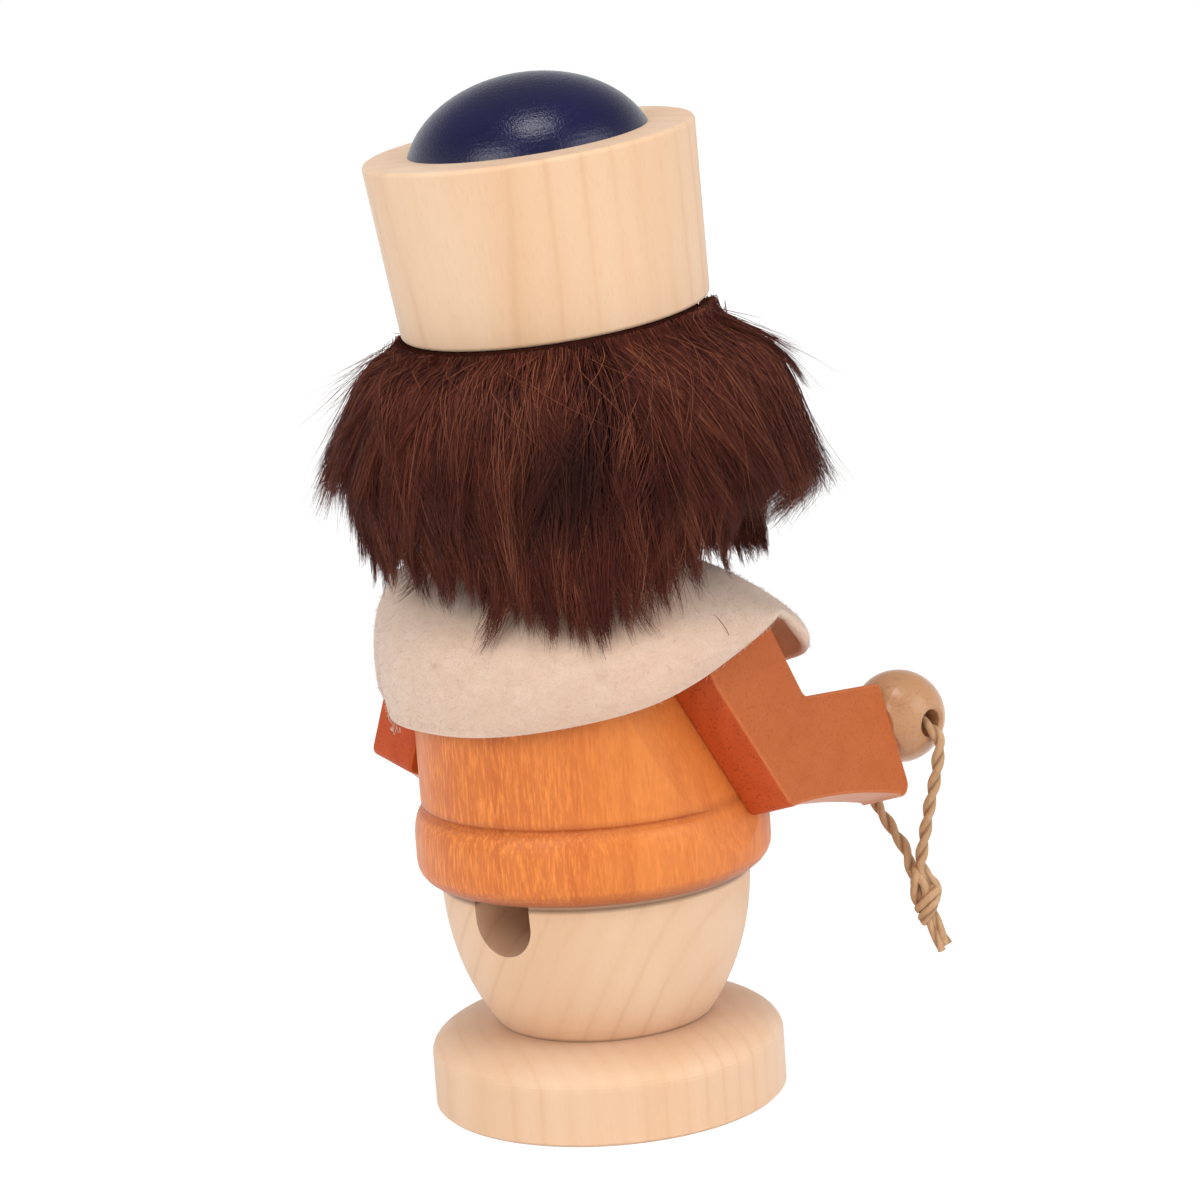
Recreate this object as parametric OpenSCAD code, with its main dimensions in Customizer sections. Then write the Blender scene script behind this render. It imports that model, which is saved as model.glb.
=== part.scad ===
// Turned wooden incense smoker: a bowl on a foot disc, a hollow coat that lifts off the bowl's spigot,
// flat board arms with bead hands, a felt collar, a ball head with fur hair and beard, and a tall cap.
// The figure's front is -Y, its own right is -X, and z = 0 is the underside of the foot disc.

/* [Foot and bowl] */
// Radius of the foot disc
base_r = 27.8; // [25:0.2:34]
// Height of the foot disc
base_h = 13; // [10:0.5:18]
// Height of the disc's rounded top edge
base_round = 4.5; // [1:0.5:5]
// Width of the disc's rounded top edge
base_crown = 9.5; // [1:0.5:10]
// Radius of the bowl where it stands on the disc
bowl_foot_r = 16.8; // [14:0.2:20]
// Radius of the bowl's rim
bowl_r = 24.2; // [23:0.1:24.4]
// Height of the bowl, from the disc to its rim
bowl_h = 23.5; // [21:0.5:28]
// Radius of the spigot that goes up into the coat
spigot_r = 19.5; // [18:0.1:20]
// Height of the spigot above the rim
spigot_h = 8; // [6:0.5:9]
// Radius of the air cavity inside the bowl
cavity_r = 10.5; // [9.5:0.1:12]
// Depth of the air cavity below the rim
cavity_depth = 9.5; // [8:0.5:11]
// Width of the vent slot drilled through the back of the bowl
vent_w = 10.5; // [7:0.1:12]
// Height of the vent slot below the rim
vent_drop = 8.6; // [7:0.1:9]

/* [Incense dish] */
// Radius of the pressed metal dish
pan_r = 9; // [7.5:0.1:9.4]
// Height of the dish's rim
pan_h = 1.6; // [1:0.1:2.5]
// Thickness of the dish's sheet
pan_t = 0.4; // [0.3:0.1:0.6]
// Radius of the nail that holds the dish
nail_r = 0.7; // [0.5:0.1:1]
// Length of the nail in the wood
nail_len = 4.5; // [3:0.5:5]

/* [Coat] */
// Largest radius of the hem band
hem_r = 27.8; // [27.4:0.1:29]
// Height of the hem band, up to the groove
hem_h = 12.1; // [10:0.1:14]
// Radius of the hem's rounded bottom edge
hem_round = 3.6; // [2:0.2:4]
// Radius of the coat above the groove
coat_r = 26.5; // [26:0.05:27]
// Depth of the turned groove
groove_depth = 0.5; // [0.3:0.1:1]
// Height of the whole coat
coat_h = 46.5; // [45:0.5:52]
// Height of the rounded shoulders
shoulder_h = 15; // [10:0.5:16]
// Radius of the flat top, round the neck
coat_top_r = 10.5; // [10:0.5:14]
// Radius of the smoke chamber
chamber_r = 16; // [14:0.5:17]
// Height of the smoke chamber's straight wall above the spigot
chamber_h = 11; // [8:0.5:12]
// Radius of the smoke channel through the neck and head
flue_r = 3.5; // [3:0.1:4]

/* [Arms] */
// Thickness of the arm boards
arm_t = 8.2; // [7:0.1:9]
// Distance of the right arm's outer face from the axis, at the arm height
right_arm_x = 31; // [30.6:0.1:32]
// Splay of the right arm from the upright, in degrees
right_splay = 16; // [14:0.5:18]
// Distance of the left arm's outer face from the axis, at the arm height
left_arm_x = 31.7; // [31.2:0.1:32.5]
// Splay of the left arm from the upright, in degrees
left_splay = 20; // [18:0.5:22]
// How far the left arm is turned back about its shoulder, in degrees
left_turn = 25; // [15:1:30]
// Radius of the shoulder dowels
arm_dowel_r = 2.5; // [2:0.1:3]
// Length of a shoulder dowel in the coat and in the arm, each
arm_dowel_len = 5; // [4:0.5:6]

/* [Hands] */
// Radius of the wooden beads
bead_r = 7.5; // [6.5:0.1:8]
// Radius of the bead's bore
bead_bore_r = 2.2; // [1.6:0.1:2.4]
// Rounding of the bore's two mouths
bead_lip = 0.8; // [0.4:0.1:1]
// Depth of the flat where the bead meets the forearm
bead_flat = 0.8; // [0.5:0.1:1.2]
// Radius of the pegs between forearm and bead
hand_peg_r = 1.5; // [1:0.1:1.8]

/* [Head] */
// Radius of the head ball
head_r = 20.5; // [19.5:0.1:21]
// Height of the head's centre above the coat's top
head_rise = 22; // [21.5:0.1:23]
// Radius of the neck tube
neck_r = 7; // [6:0.1:8]
// Depth of the neck's sockets in the coat and in the head
neck_socket = 6; // [5:0.5:7]
// Radius of the mouth hole
mouth_r = 3.5; // [3:0.1:4]
// Drop of the mouth hole below the head's centre
mouth_drop = 7; // [6:0.2:8]
// Radius of the nose ball
nose_r = 4.2; // [3:0.1:5]

/* [Hat] */
// Tilt of the hat to the back, in degrees
hat_tilt = 7.8; // [5:0.1:9]
// Height of the hat's underside above the head's centre, on the axis
hat_rise = 18.2; // [17.8:0.1:18.6]
// Radius of the hat's underside
hat_r = 23.8; // [22.5:0.1:25]
// Radius of the hat's top
hat_top_r = 25.3; // [24:0.1:28]
// Height of the hat along its own axis
hat_h = 27; // [22:0.5:32]
// Rounding of the hat's edges
hat_round = 0.7; // [0.3:0.1:1.2]
// Radius of the coloured dome on the hat
dome_r = 18.3; // [15:0.1:21]
// Height of the dome
dome_h = 9.8; // [6.5:0.1:12]

/* [Felt collar] */
// Thickness of the felt
felt_t = 1.3; // [1:0.1:1.6]
// Radius of the neck hole
collar_hole_r = 8.6; // [8.3:0.1:9.5]
// How far the hem hangs below the coat's top, at its lowest
collar_drop = 19.6; // [17:0.1:21]
// Radius of the hanging hem at the back
collar_hem_r = 29.8; // [29.4:0.1:31]

/* [Cord] */
// Diameter of the twisted cord
cord_d = 2; // [1.6:0.1:2.2]

/* [Hidden] */
$fn = 64;

// Named clearances
slide_gap = 0.05;   // running fit of the coat on the spigot, per side
glue_gap = 0.05;    // dowels in their holes, per side
end_gap = 0.5;      // past the end of a dowel or spigot
soft_gap = 0.35;    // felt and fur to what they lie on
eps = 0.01;         // cutting tools run past the faces that they cut by this much
curve_steps = 20;   // points on a long turned curve
round_steps = 6;    // points on a small rounding

// Heights of the main faces
rim_z = base_h + bowl_h;
cavity_z = rim_z - cavity_depth;
spigot_z = rim_z + spigot_h;
groove_z = rim_z + hem_h;
coat_top_z = rim_z + coat_h;
shoulder_z = coat_top_z - shoulder_h;
head_z = coat_top_z + head_rise;
hat_z = head_z + hat_rise;

// Foot dowel and disc details
base_chamfer = 0.5;
base_dowel_r = 4;
base_dowel_down = 8;
nail_clear = 0.5;
base_dowel_up = cavity_z - base_h - nail_len - 2 * end_gap - nail_clear;

// Coat details
hem_flat_h = 3.4;
hem_shoulder_in = 1.7;
groove_w = 0.8;
roof_angle = 45;
chamber_floor_z = spigot_z + end_gap;
roof_z = chamber_floor_z + chamber_h;
roof_top_z = roof_z + (chamber_r - flue_r) * tan(roof_angle);

// Arm boards: the outer face is measured at this height, and the outline about the shoulder dowel
arm_rise = 23.5;
arm_z = rim_z + arm_rise;
right_peg = [1.5, 10.5];
left_peg = [-6.6, 17.4];
elbow = [3.7, -23.1];
hand_low = [35.3, -28.8];
hand_top = [35.3, -10.1];
crook = [15.1, -8.1];
chest = [10.2, 8.6];
back_top = [-10.7, 8.6];
under_scoop = 1.1;
hand_centre = [hand_top[0], -12.9];
seat_cut = 60;

// Bead on the right hand: its bore turns to the back and dips outwards
bore_turn = 8;
bore_dip = 4.5;
hand_peg_half = 3;

// Nose and hat details
nose_z = head_z + 1.5;
nose_sink = 1.2;
nose_peg_r = 1.5;
nose_peg_len = 5;
hat_dowel_r = 4;
hat_dowel_half = 7;
dome_sink = 4;
dome_dowel_r = 3;
dome_dowel_half = 4;

// Right bead's centre
bead_rise = 17;
right_bead = [-29.8, -43.5, rim_z + bead_rise];

// Knot and tail of the cord, in the plane of the bore: outwards and upwards from the bead's centre
cord_sides = 8;
knot_top = [2, -24.6];
knot_tilt = 16;
knot_h = 8.2;
knot_r = 2.7;
strand_apart = 1.1;
tail_len = 5.6;
tail_lean = 14;
tail_spread = 7;

// Cord loop's route in the same plane, from the knot's top face through the bore and back to it
strand_end = strand_apart * [cos(knot_tilt), sin(knot_tilt)];
cord_route = [knot_top + strand_end, [3.3, -22.4], [4.3, -18.6], [5.7, -13.6], [7, -9.4], [7.7, -6.4],
    [8.15, -4.2], [8.2, -2.9], [7.75, -1.75], [6.8, -0.9], [5.2, -0.2], [3.4, 0.35], [1.2, 0.6],
    [-1.2, 0.6], [-3.4, 0.35], [-5.2, -0.2], [-6.8, -0.9], [-7.75, -1.75], [-8.2, -2.9], [-8.15, -4.4],
    [-7.9, -7], [-7.4, -10.6], [-5.8, -15], [-2.8, -18.9], [-0.2, -22], knot_top - strand_end];

// Points on an ellipse arc
function arc(centre, rx, ry, from, to, steps) =
    [for (i = [0:steps]) let (a = from + (to - from) * i / steps)
        centre + [rx * cos(a), ry * sin(a)]];

// Points that round the corner b between its neighbours a and c
function unit(v) = v / norm(v);
function rounded(a, b, c, r) =
    let (u = unit(a - b), v = unit(c - b), half = acos(u * v) / 2,
        centre = b + unit(u + v) * r / sin(half),
        first = b + u * r / tan(half) - centre, last = b + v * r / tan(half) - centre,
        start = atan2(first[1], first[0]),
        sweep = (atan2(last[1], last[0]) - start + 540) % 360 - 180)
    [for (i = [0:round_steps]) let (a = start + sweep * i / round_steps)
        centre + r * [cos(a), sin(a)]];

// A smooth hump of height 1 at the angle c, with its own width on each side
function hump(a, c, before, after) =
    let (d = a - c, w = d < 0 ? before : after) exp(-pow(d / w, 2));

// A cubic curve through four control points
function bezier(p, t) = pow(1 - t, 3) * p[0] + 3 * t * pow(1 - t, 2) * p[1]
    + 3 * t * t * (1 - t) * p[2] + pow(t, 3) * p[3];

// Around the figure: angle 0 is the back, 90 the figure's own right, and -90 its left
function around(a, r, z) = [-r * sin(a), r * cos(a), z];

// Faces of a tube of rings; closed joins the last ring to the first
function ring_faces(rings, sides, closed) =
    [for (i = [0:rings - (closed ? 1 : 2)], j = [0:sides - 1])
        let (n = (i + 1) % rings, k = (j + 1) % sides)
        each [[i * sides + j, n * sides + k, i * sides + k],
            [i * sides + j, n * sides + j, n * sides + k]]];

// Caps at the two ends of an open tube of rings
function end_caps(rings, sides) =
    [[for (j = [0:sides - 1]) j], [for (j = [sides - 1:-1:0]) (rings - 1) * sides + j]];

// Foot disc

module base_disc() {
    color([0.90, 0.80, 0.63])
    difference() {
        rotate_extrude()
            polygon(concat([[0, 0], [base_r - base_chamfer, 0], [base_r, base_chamfer]],
                arc([base_r - base_crown, base_h - base_round], base_crown, base_round, 0, 90,
                    2 * round_steps),
                [[0, base_h]]));
        translate([0, 0, base_h - base_dowel_down - end_gap])
            cylinder(r = base_dowel_r + glue_gap, h = base_dowel_down + end_gap + eps);
    }
}

// Bowl with its spigot, air cavity and vent slot

function bowl_radius(z) =
    let (k = 1 - pow(bowl_foot_r / bowl_r, 2), t = (rim_z - z) / bowl_h)
    bowl_r * sqrt(1 - k * t * t);

module vent_slot() {
    slot_z = rim_z - vent_drop + vent_w / 2;
    translate([0, cavity_r / 2, slot_z])
        rotate([-90, 0, 0])
        cylinder(d = vent_w, h = bowl_r);
    translate([-vent_w / 2, cavity_r / 2, slot_z])
        cube([vent_w, bowl_r, rim_z - slot_z + eps]);
}

module lower_body() {
    spigot_chamfer = 0.6;
    color([0.90, 0.80, 0.63])
    difference() {
        rotate_extrude()
            polygon(concat([[0, base_h]],
                [for (i = [0:curve_steps]) let (z = base_h + bowl_h * i / curve_steps) [bowl_radius(z), z]],
                [[spigot_r, rim_z], [spigot_r, spigot_z - spigot_chamfer],
                    [spigot_r - spigot_chamfer, spigot_z], [cavity_r, spigot_z],
                    [cavity_r, cavity_z], [0, cavity_z]]));
        vent_slot();
        translate([0, 0, base_h - eps])
            cylinder(r = base_dowel_r + glue_gap, h = base_dowel_up + end_gap + eps);
        translate([0, 0, cavity_z - nail_len - end_gap])
            cylinder(r = nail_r + glue_gap, h = nail_len + end_gap + eps);
    }
}

module base_dowel() {
    color([0.86, 0.76, 0.58])
    translate([0, 0, base_h - base_dowel_down])
        cylinder(r = base_dowel_r, h = base_dowel_down + base_dowel_up);
}

// Dish for the incense cone, with its nail

module cone_pan() {
    flare = 0.8;
    color([0.72, 0.72, 0.70])
    rotate_extrude()
        polygon([[nail_r + glue_gap, cavity_z], [pan_r - flare, cavity_z], [pan_r, cavity_z + pan_h],
            [pan_r - pan_t, cavity_z + pan_h], [pan_r - flare - pan_t / 2, cavity_z + pan_t],
            [nail_r + glue_gap, cavity_z + pan_t]]);
}

module pan_nail() {
    head_h = 0.5;
    head_over = 1;
    color([0.62, 0.62, 0.62])
    translate([0, 0, cavity_z]) {
        translate([0, 0, -nail_len])
            cylinder(r = nail_r, h = nail_len + pan_t + eps);
        translate([0, 0, pan_t])
            cylinder(r1 = nail_r + head_over, r2 = nail_r + head_over / 2, h = head_h);
    }
}

// Placement of an arm board: x runs forwards, y up the board and z out of its outer face

module arm_place(side, arm_x, splay, peg, turn) {
    mirror([side > 0 ? 1 : 0, 0, 0])
        translate([-arm_x, 0, arm_z])
        rotate([0, splay, 0])
        rotate([90, 0, -90])
        translate(peg)
        rotate(-turn)
        children();
}

module right_place() {
    arm_place(-1, right_arm_x, right_splay, right_peg, 0) children();
}

module left_place() {
    arm_place(1, left_arm_x, left_splay, left_peg, left_turn) children();
}

// Hollow coat

module coat() {
    socket_r = spigot_r + slide_gap;
    color([0.85, 0.45, 0.16])
    difference() {
        rotate_extrude()
            polygon(concat([[socket_r, rim_z]],
                arc([hem_r - hem_round, rim_z + hem_round], hem_round, hem_round, -90, 0, round_steps),
                arc([hem_r - hem_shoulder_in, rim_z + hem_round + hem_flat_h], hem_shoulder_in,
                    hem_h - hem_round - hem_flat_h - groove_w / 2, 0, 80, round_steps),
                [[coat_r - groove_depth, groove_z], [coat_r - groove_w / 8, groove_z + groove_w / 2],
                    [coat_r, groove_z + groove_w]],
                arc([coat_top_r, shoulder_z], coat_r - coat_top_r, shoulder_h, 0, 90, curve_steps),
                [[flue_r, coat_top_z], [flue_r, roof_top_z], [chamber_r, roof_z],
                    [chamber_r, chamber_floor_z], [socket_r, chamber_floor_z]]));
        translate([0, 0, coat_top_z - neck_socket - end_gap])
            cylinder(r = neck_r + glue_gap, h = neck_socket + end_gap + eps);
        right_place() arm_seat();
        left_place() arm_seat();
    }
}

// Flat milled in the coat for an arm, with the hole of its dowel
module arm_seat() {
    translate([-seat_cut, -seat_cut, -arm_t])
        cube([2 * seat_cut, 2 * seat_cut, seat_cut]);
    translate([0, 0, -arm_t - arm_dowel_len - end_gap])
        cylinder(r = arm_dowel_r + glue_gap, h = arm_dowel_len + end_gap + eps);
}

module neck_tube() {
    neck_z = coat_top_z - neck_socket;
    neck_len = head_bottom_z() + neck_socket - neck_z;
    color([0.88, 0.78, 0.60])
    translate([0, 0, neck_z])
        difference() {
            cylinder(r = neck_r, h = neck_len);
            translate([0, 0, -eps])
                cylinder(r = flue_r, h = neck_len + 2 * eps);
        }
}

// Arm boards

function arm_outline() = concat(
    rounded(back_top, elbow, hand_low, 2),
    [for (i = [1:curve_steps / 2 - 1]) let (t = 2 * i / curve_steps, s = 2 * t - 1)
        elbow + t * (hand_low - elbow) + [0, under_scoop * (1 - s * s)]],
    rounded(elbow, hand_low, hand_top, 2.4),
    rounded(hand_low, hand_top, crook, 1),
    rounded(hand_top, crook, chest, 1.5),
    rounded(crook, chest, back_top, 8),
    rounded(chest, back_top, elbow, 8));

module arm_board() {
    difference() {
        translate([0, 0, -arm_t])
            linear_extrude(arm_t)
            polygon(arm_outline());
        translate([0, 0, -arm_t - eps])
            cylinder(r = arm_dowel_r + glue_gap, h = arm_dowel_len + end_gap + eps);
        hand_peg_at()
            cylinder(r = hand_peg_r + glue_gap, h = 2 * (hand_peg_half + end_gap), center = true);
    }
}

// Along the peg between the forearm's end and its bead
module hand_peg_at() {
    translate([hand_centre[0], hand_centre[1], -arm_t / 2])
        rotate([0, 90, 0])
        children();
}

module right_arm() {
    color([0.76, 0.38, 0.19]) right_place() arm_board();
}

module left_arm() {
    color([0.76, 0.38, 0.19]) left_place() arm_board();
}

module arm_dowel() {
    translate([0, 0, -arm_t - arm_dowel_len])
        cylinder(r = arm_dowel_r, h = 2 * arm_dowel_len);
}

module arm_dowels() {
    color([0.86, 0.76, 0.58]) {
        right_place() arm_dowel();
        left_place() arm_dowel();
    }
}

// Bead hands

module bead(turn, dip) {
    bore_half = sqrt(pow(bead_r, 2) - pow(bead_bore_r + bead_lip, 2));
    start = asin((bead_bore_r + bead_lip) / bead_r);
    rotate([0, 0, turn])
        rotate([0, 90 + dip, 0])
        rotate_extrude()
        polygon(concat(
            arc([bead_bore_r + bead_lip, -bore_half + bead_lip / 2], bead_lip, bead_lip / 2, 180, 270,
                round_steps),
            [for (i = [1:curve_steps - 1]) let (a = start + (180 - 2 * start) * i / curve_steps)
                [bead_r * sin(a), -bead_r * cos(a)]],
            arc([bead_bore_r + bead_lip, bore_half - bead_lip / 2], bead_lip, bead_lip / 2, 90, 180,
                round_steps)));
}

// Distance from a forearm's end to the centre of its bead
bead_out = bead_r - bead_flat;

module bead_cut() {
    translate([-bead_r, -bead_r, -bead_out - bead_r])
        cube([2 * bead_r, 2 * bead_r, bead_r]);
    translate([0, 0, -bead_out - eps])
        cylinder(r = hand_peg_r + glue_gap, h = hand_peg_half - bead_flat / 2 + eps);
}

module right_hand() {
    color([0.80, 0.64, 0.44])
    difference() {
        translate(right_bead) bead(-bore_turn, -bore_dip);
        right_place() hand_peg_at() translate([0, 0, bead_out]) bead_cut();
    }
}

module left_hand() {
    color([0.80, 0.64, 0.44])
    left_place() hand_peg_at() translate([0, 0, bead_out])
        difference() {
            bead(0, 0);
            bead_cut();
        }
}

module hand_pegs() {
    out_len = hand_peg_half - bead_flat;
    color([0.86, 0.76, 0.58]) {
        right_place() hand_peg_at() translate([0, 0, -hand_peg_half])
            cylinder(r = hand_peg_r, h = hand_peg_half + out_len);
        left_place() hand_peg_at() translate([0, 0, -hand_peg_half])
            cylinder(r = hand_peg_r, h = hand_peg_half + out_len);
    }
}

// Head ball with its smoke channel, mouth hole and two flats

function head_bottom_z() = head_z - sqrt(pow(head_r, 2) - pow(neck_r + 2, 2));

// Along the hat's own axis, from the centre of its underside
module hat_place() {
    translate([0, 0, hat_z]) rotate([-hat_tilt, 0, 0]) children();
}

module head() {
    color([0.88, 0.72, 0.54])
    difference() {
        translate([0, 0, head_z]) sphere(r = head_r);
        translate([0, 0, head_bottom_z() - head_r])
            cylinder(r = head_r, h = head_r);
        translate([0, 0, head_bottom_z() - eps])
            cylinder(r = neck_r + glue_gap, h = neck_socket + end_gap + eps);
        translate([0, 0, head_bottom_z()])
            cylinder(r = flue_r, h = head_z - mouth_drop + mouth_r - head_bottom_z());
        translate([0, 0, head_z - mouth_drop])
            rotate([90, 0, 0])
            cylinder(r = mouth_r, h = head_r);
        hat_place() {
            translate([-head_r, -head_r, 0]) cube([2 * head_r, 2 * head_r, head_r]);
            translate([0, 0, -hat_dowel_half - end_gap])
                cylinder(r = hat_dowel_r + glue_gap, h = hat_dowel_half + end_gap + eps);
        }
        translate([0, 0, nose_z]) nose_axis()
            translate([0, 0, nose_seat() - nose_peg_len - end_gap])
            cylinder(r = nose_peg_r + glue_gap, h = head_r);
    }
}

// The nose points forwards
module nose_axis() {
    rotate([90, 0, 0]) children();
}

// Distance from the head's axis to the place where the nose ball meets the head
function nose_seat() = sqrt(pow(head_r, 2) - pow(nose_z - head_z, 2)) - nose_sink;

module nose() {
    ball_y = nose_seat() + nose_r - nose_sink / 2;
    color([0.85, 0.55, 0.42])
    difference() {
        union() {
            translate([0, 0, nose_z]) nose_axis() {
                translate([0, 0, ball_y]) sphere(r = nose_r);
                translate([0, 0, nose_seat() - nose_peg_len])
                    cylinder(r = nose_peg_r, h = nose_peg_len + nose_r);
            }
        }
        difference() {
            translate([0, 0, head_z]) sphere(r = head_r + glue_gap);
            translate([0, 0, nose_z]) nose_axis() cylinder(r = nose_peg_r, h = 2 * head_r);
        }
    }
}

// Hat, dome and their dowels

module hat() {
    lean = atan((hat_top_r - hat_r) / hat_h);
    color([0.91, 0.82, 0.66])
    hat_place()
        difference() {
            rotate_extrude()
                polygon(concat([[0, 0]],
                    arc([hat_r - hat_round, hat_round], hat_round, hat_round, -90, -lean, round_steps),
                    arc([hat_top_r - hat_round, hat_h - hat_round], hat_round, hat_round, -lean, 90,
                        round_steps),
                    [[0, hat_h]]));
            translate([0, 0, -eps])
                cylinder(r = hat_dowel_r + glue_gap, h = hat_dowel_half + end_gap + eps);
            translate([0, 0, hat_h - dome_dowel_half - end_gap])
                cylinder(r = dome_dowel_r + glue_gap, h = dome_dowel_half + end_gap + eps);
        }
}

module hat_dowel() {
    color([0.86, 0.76, 0.58])
    hat_place() translate([0, 0, -hat_dowel_half])
        cylinder(r = hat_dowel_r, h = 2 * hat_dowel_half);
}

module hat_dome() {
    wide_r = dome_r / sqrt(1 - pow(dome_sink / (dome_h + dome_sink), 2));
    color([0.10, 0.12, 0.32])
    hat_place() translate([0, 0, hat_h])
        difference() {
            rotate_extrude()
                polygon(concat([[0, 0]], arc([0, -dome_sink], wide_r, dome_h + dome_sink,
                    asin(dome_sink / (dome_h + dome_sink)), 90, curve_steps)));
            translate([0, 0, -eps])
                cylinder(r = dome_dowel_r + glue_gap, h = dome_dowel_half + end_gap + eps);
        }
}

module dome_dowel() {
    color([0.86, 0.76, 0.58])
    hat_place() translate([0, 0, hat_h - dome_dowel_half])
        cylinder(r = dome_dowel_r, h = 2 * dome_dowel_half);
}

// Felt collar: one draped ring, whose curve from neck to hem changes round the figure

collar_steps = 60;
collar_points = 9;

// The felt rides up over each arm, and falls off the right arm's front edge in a fold
function over_right(a) = hump(a, 112, 40, 14);
function over_left(a) = hump(a, -80, 45, 40);
function over_left_edge(a) = hump(a, -68, 15, 11);
function front_fold(a) = hump(abs(a), 132, 14, 22);

function collar_path(a) =
    let (r = over_right(a), l = over_left(a), e = over_left_edge(a), f = front_fold(a),
        top = coat_top_z + soft_gap + felt_t / 2, hem = coat_top_z - collar_drop,
        s = hump(a, 75, 40, 60) + hump(a, -165, 30, 30), wave = 0.4 * sin(7 * a + 20))
    [[collar_hole_r, top], [19 + 5 * l - 2 * r, top + 1.5 + 5.5 * l - 1.2 * r - 0.9 * hump(a, 130, 26, 26)],
        [collar_hem_r + 4.2 + 0.6 * l - 1.2 * r + 4.2 * f - s + 0.6 * e,
            top - 1.8 + 3.4 * l - 0.8 * r - 2 * f - 2.5 * s],
        [collar_hem_r - 0.5 + r + 5.2 * f + wave + 4.2 * e, hem + 11 * r + 8 * hump(a, -95, 22, 30)]];

// The felt's upper side at the angle a, as the radius at the height z, with the gap for the fur on it
function collar_outer(a, z) =
    let (p = collar_path(a))
    lookup(z, [for (i = [10:20]) let (q = bezier(p, i / 20)) [q[1], q[0]]]) + felt_t / 2 + soft_gap;

// Points across the felt at one angle: the upper side outwards, then the lower side back
function collar_ring(a) =
    let (p = collar_path(a),
        mid = [for (i = [0:collar_points - 1]) bezier(p, i / (collar_points - 1))],
        side = [for (i = [0:collar_points - 1])
            let (d = unit(mid[min(i + 1, collar_points - 1)] - mid[max(i - 1, 0)]))
            felt_t / 2 * [-d[1], d[0]]])
    concat([for (i = [0:collar_points - 1]) around(a, mid[i][0] + side[i][0], mid[i][1] + side[i][1])],
        [for (i = [collar_points - 1:-1:0]) around(a, mid[i][0] - side[i][0], mid[i][1] - side[i][1])]);

module felt_collar() {
    color([0.87, 0.78, 0.68])
    polyhedron([for (i = [0:collar_steps - 1]) each collar_ring(-180 + 360 * i / collar_steps)],
        ring_faces(collar_steps, 2 * collar_points, true));
}

// Hair and beard: fur in tufts, as shells that follow the head

// Radius at which fur lies on the head ball at the height z
function scalp(z) = sqrt(max(pow(head_r, 2) - pow(z - head_z, 2), pow(neck_r + 3, 2))) + soft_gap;

// Height of the hat's underside at the angle a and radius r, less the gap for the fur
function under_hat(a, r) = hat_z - r * cos(a) * tan(hat_tilt) - soft_gap;

// A saw-toothed tuft, from 0 at its root to 1 at its tip
function tuft(a, w) = 1 - abs(((a + 720) % w) / w * 2 - 1);

hair_half = 119;
hair_steps = 104;
tuft_w = 13.5;

// How far down the fur hangs at the angle a
function hair_bottom(a) = head_z - 18 - 8.5 * hump(a, 44, 34, 22) + 2.6 * hump(a, 118, 30, 30)
    + 2.6 * hump(a, -95, 38, 40) - 2 * tuft(a, tuft_w) * (1 - 0.4 * cos(a * 5));

// The flare of the long outer fur, widest at the figure's two sides, and closing at the face
function hair_flare(a) = 1.6 + 4.8 * pow(sin(a * 0.86), 2) + 0.9 * hump(a, -58, 18, 14)
    + 1.2 * tuft(a + 5, tuft_w) - 8 * hump(abs(a), hair_half, 7, 7);

function hair_ring(a) =
    let (t = tuft(a, tuft_w), f = hair_flare(a), low = hair_bottom(a), slim = hump(a, -60, 45, 45),
        tip = head_z - 9 + 2 * cos(a * 6) - a / 40, hang = max(30.4, collar_outer(a, low) + 1.6) + 0.6 * t,
        lie = collar_outer(a, low + 1.5), crown = head_z + 18)
    [around(a, 16, min(under_hat(a, 16), crown)),
        around(a, 22.6, under_hat(a, 23)),
        around(a, 26.5 + t, head_z + 15 - 1.5 * cos(a)),
        around(a, 31 + 0.2 * f + 0.6 * t - 0.6 * slim, head_z + 9.5),
        around(a, 33 + 0.5 * f + 0.6 * t - 1.4 * slim, head_z + 4),
        around(a, 34 + 0.65 * f + 0.6 * t - 0.5 * slim, head_z - 2),
        around(a, 34 + f, tip),
        around(a, 31.6 + t, tip - 2 * t),
        around(a, (hang + 31) / 2, (low + tip) / 2 - 3),
        around(a, hang, low),
        around(a, lie, low + 1.5),
        around(a, max(28, collar_outer(a, head_z - 20)), head_z - 17.2 + 0.8 * over_left(a)),
        around(a, 20, head_z - 15.5),
        for (z = [-11:5.5:11]) around(a, scalp(head_z + z) + 0.4, head_z + z)];

module hair() {
    sides = len(hair_ring(0));
    color([0.26, 0.13, 0.08])
    polyhedron([for (i = [0:hair_steps]) each hair_ring(-hair_half + 2 * hair_half * i / hair_steps)],
        concat(ring_faces(hair_steps + 1, sides, false), end_caps(hair_steps + 1, sides)));
}

beard_half = 59;
beard_steps = 44;

function beard_ring(a) =
    let (t = tuft(a, 11), b = a > 0 ? a - 180 : a + 180,
        low = head_z - 21 - 3 * hump(a, 0, 26, 26) - 1.5 * t,
        top = head_z - 12 + 8 * pow(abs(a) / beard_half, 1.5), lie = collar_outer(b, low + 1))
    [around(b, scalp(top) + 0.5, top),
        around(b, scalp(top) + 4, top - 1.5),
        around(b, 27 + t, head_z - 15),
        around(b, lie + 1.8 + 0.6 * t, (head_z - 15 + low) / 2),
        around(b, lie + 1.5 + 0.6 * t, low),
        around(b, lie, low + 1),
        around(b, 28.5, head_z - 17.3),
        around(b, 18.5, head_z - 16),
        around(b, scalp(head_z - 14) + 1, head_z - 14)];

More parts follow.
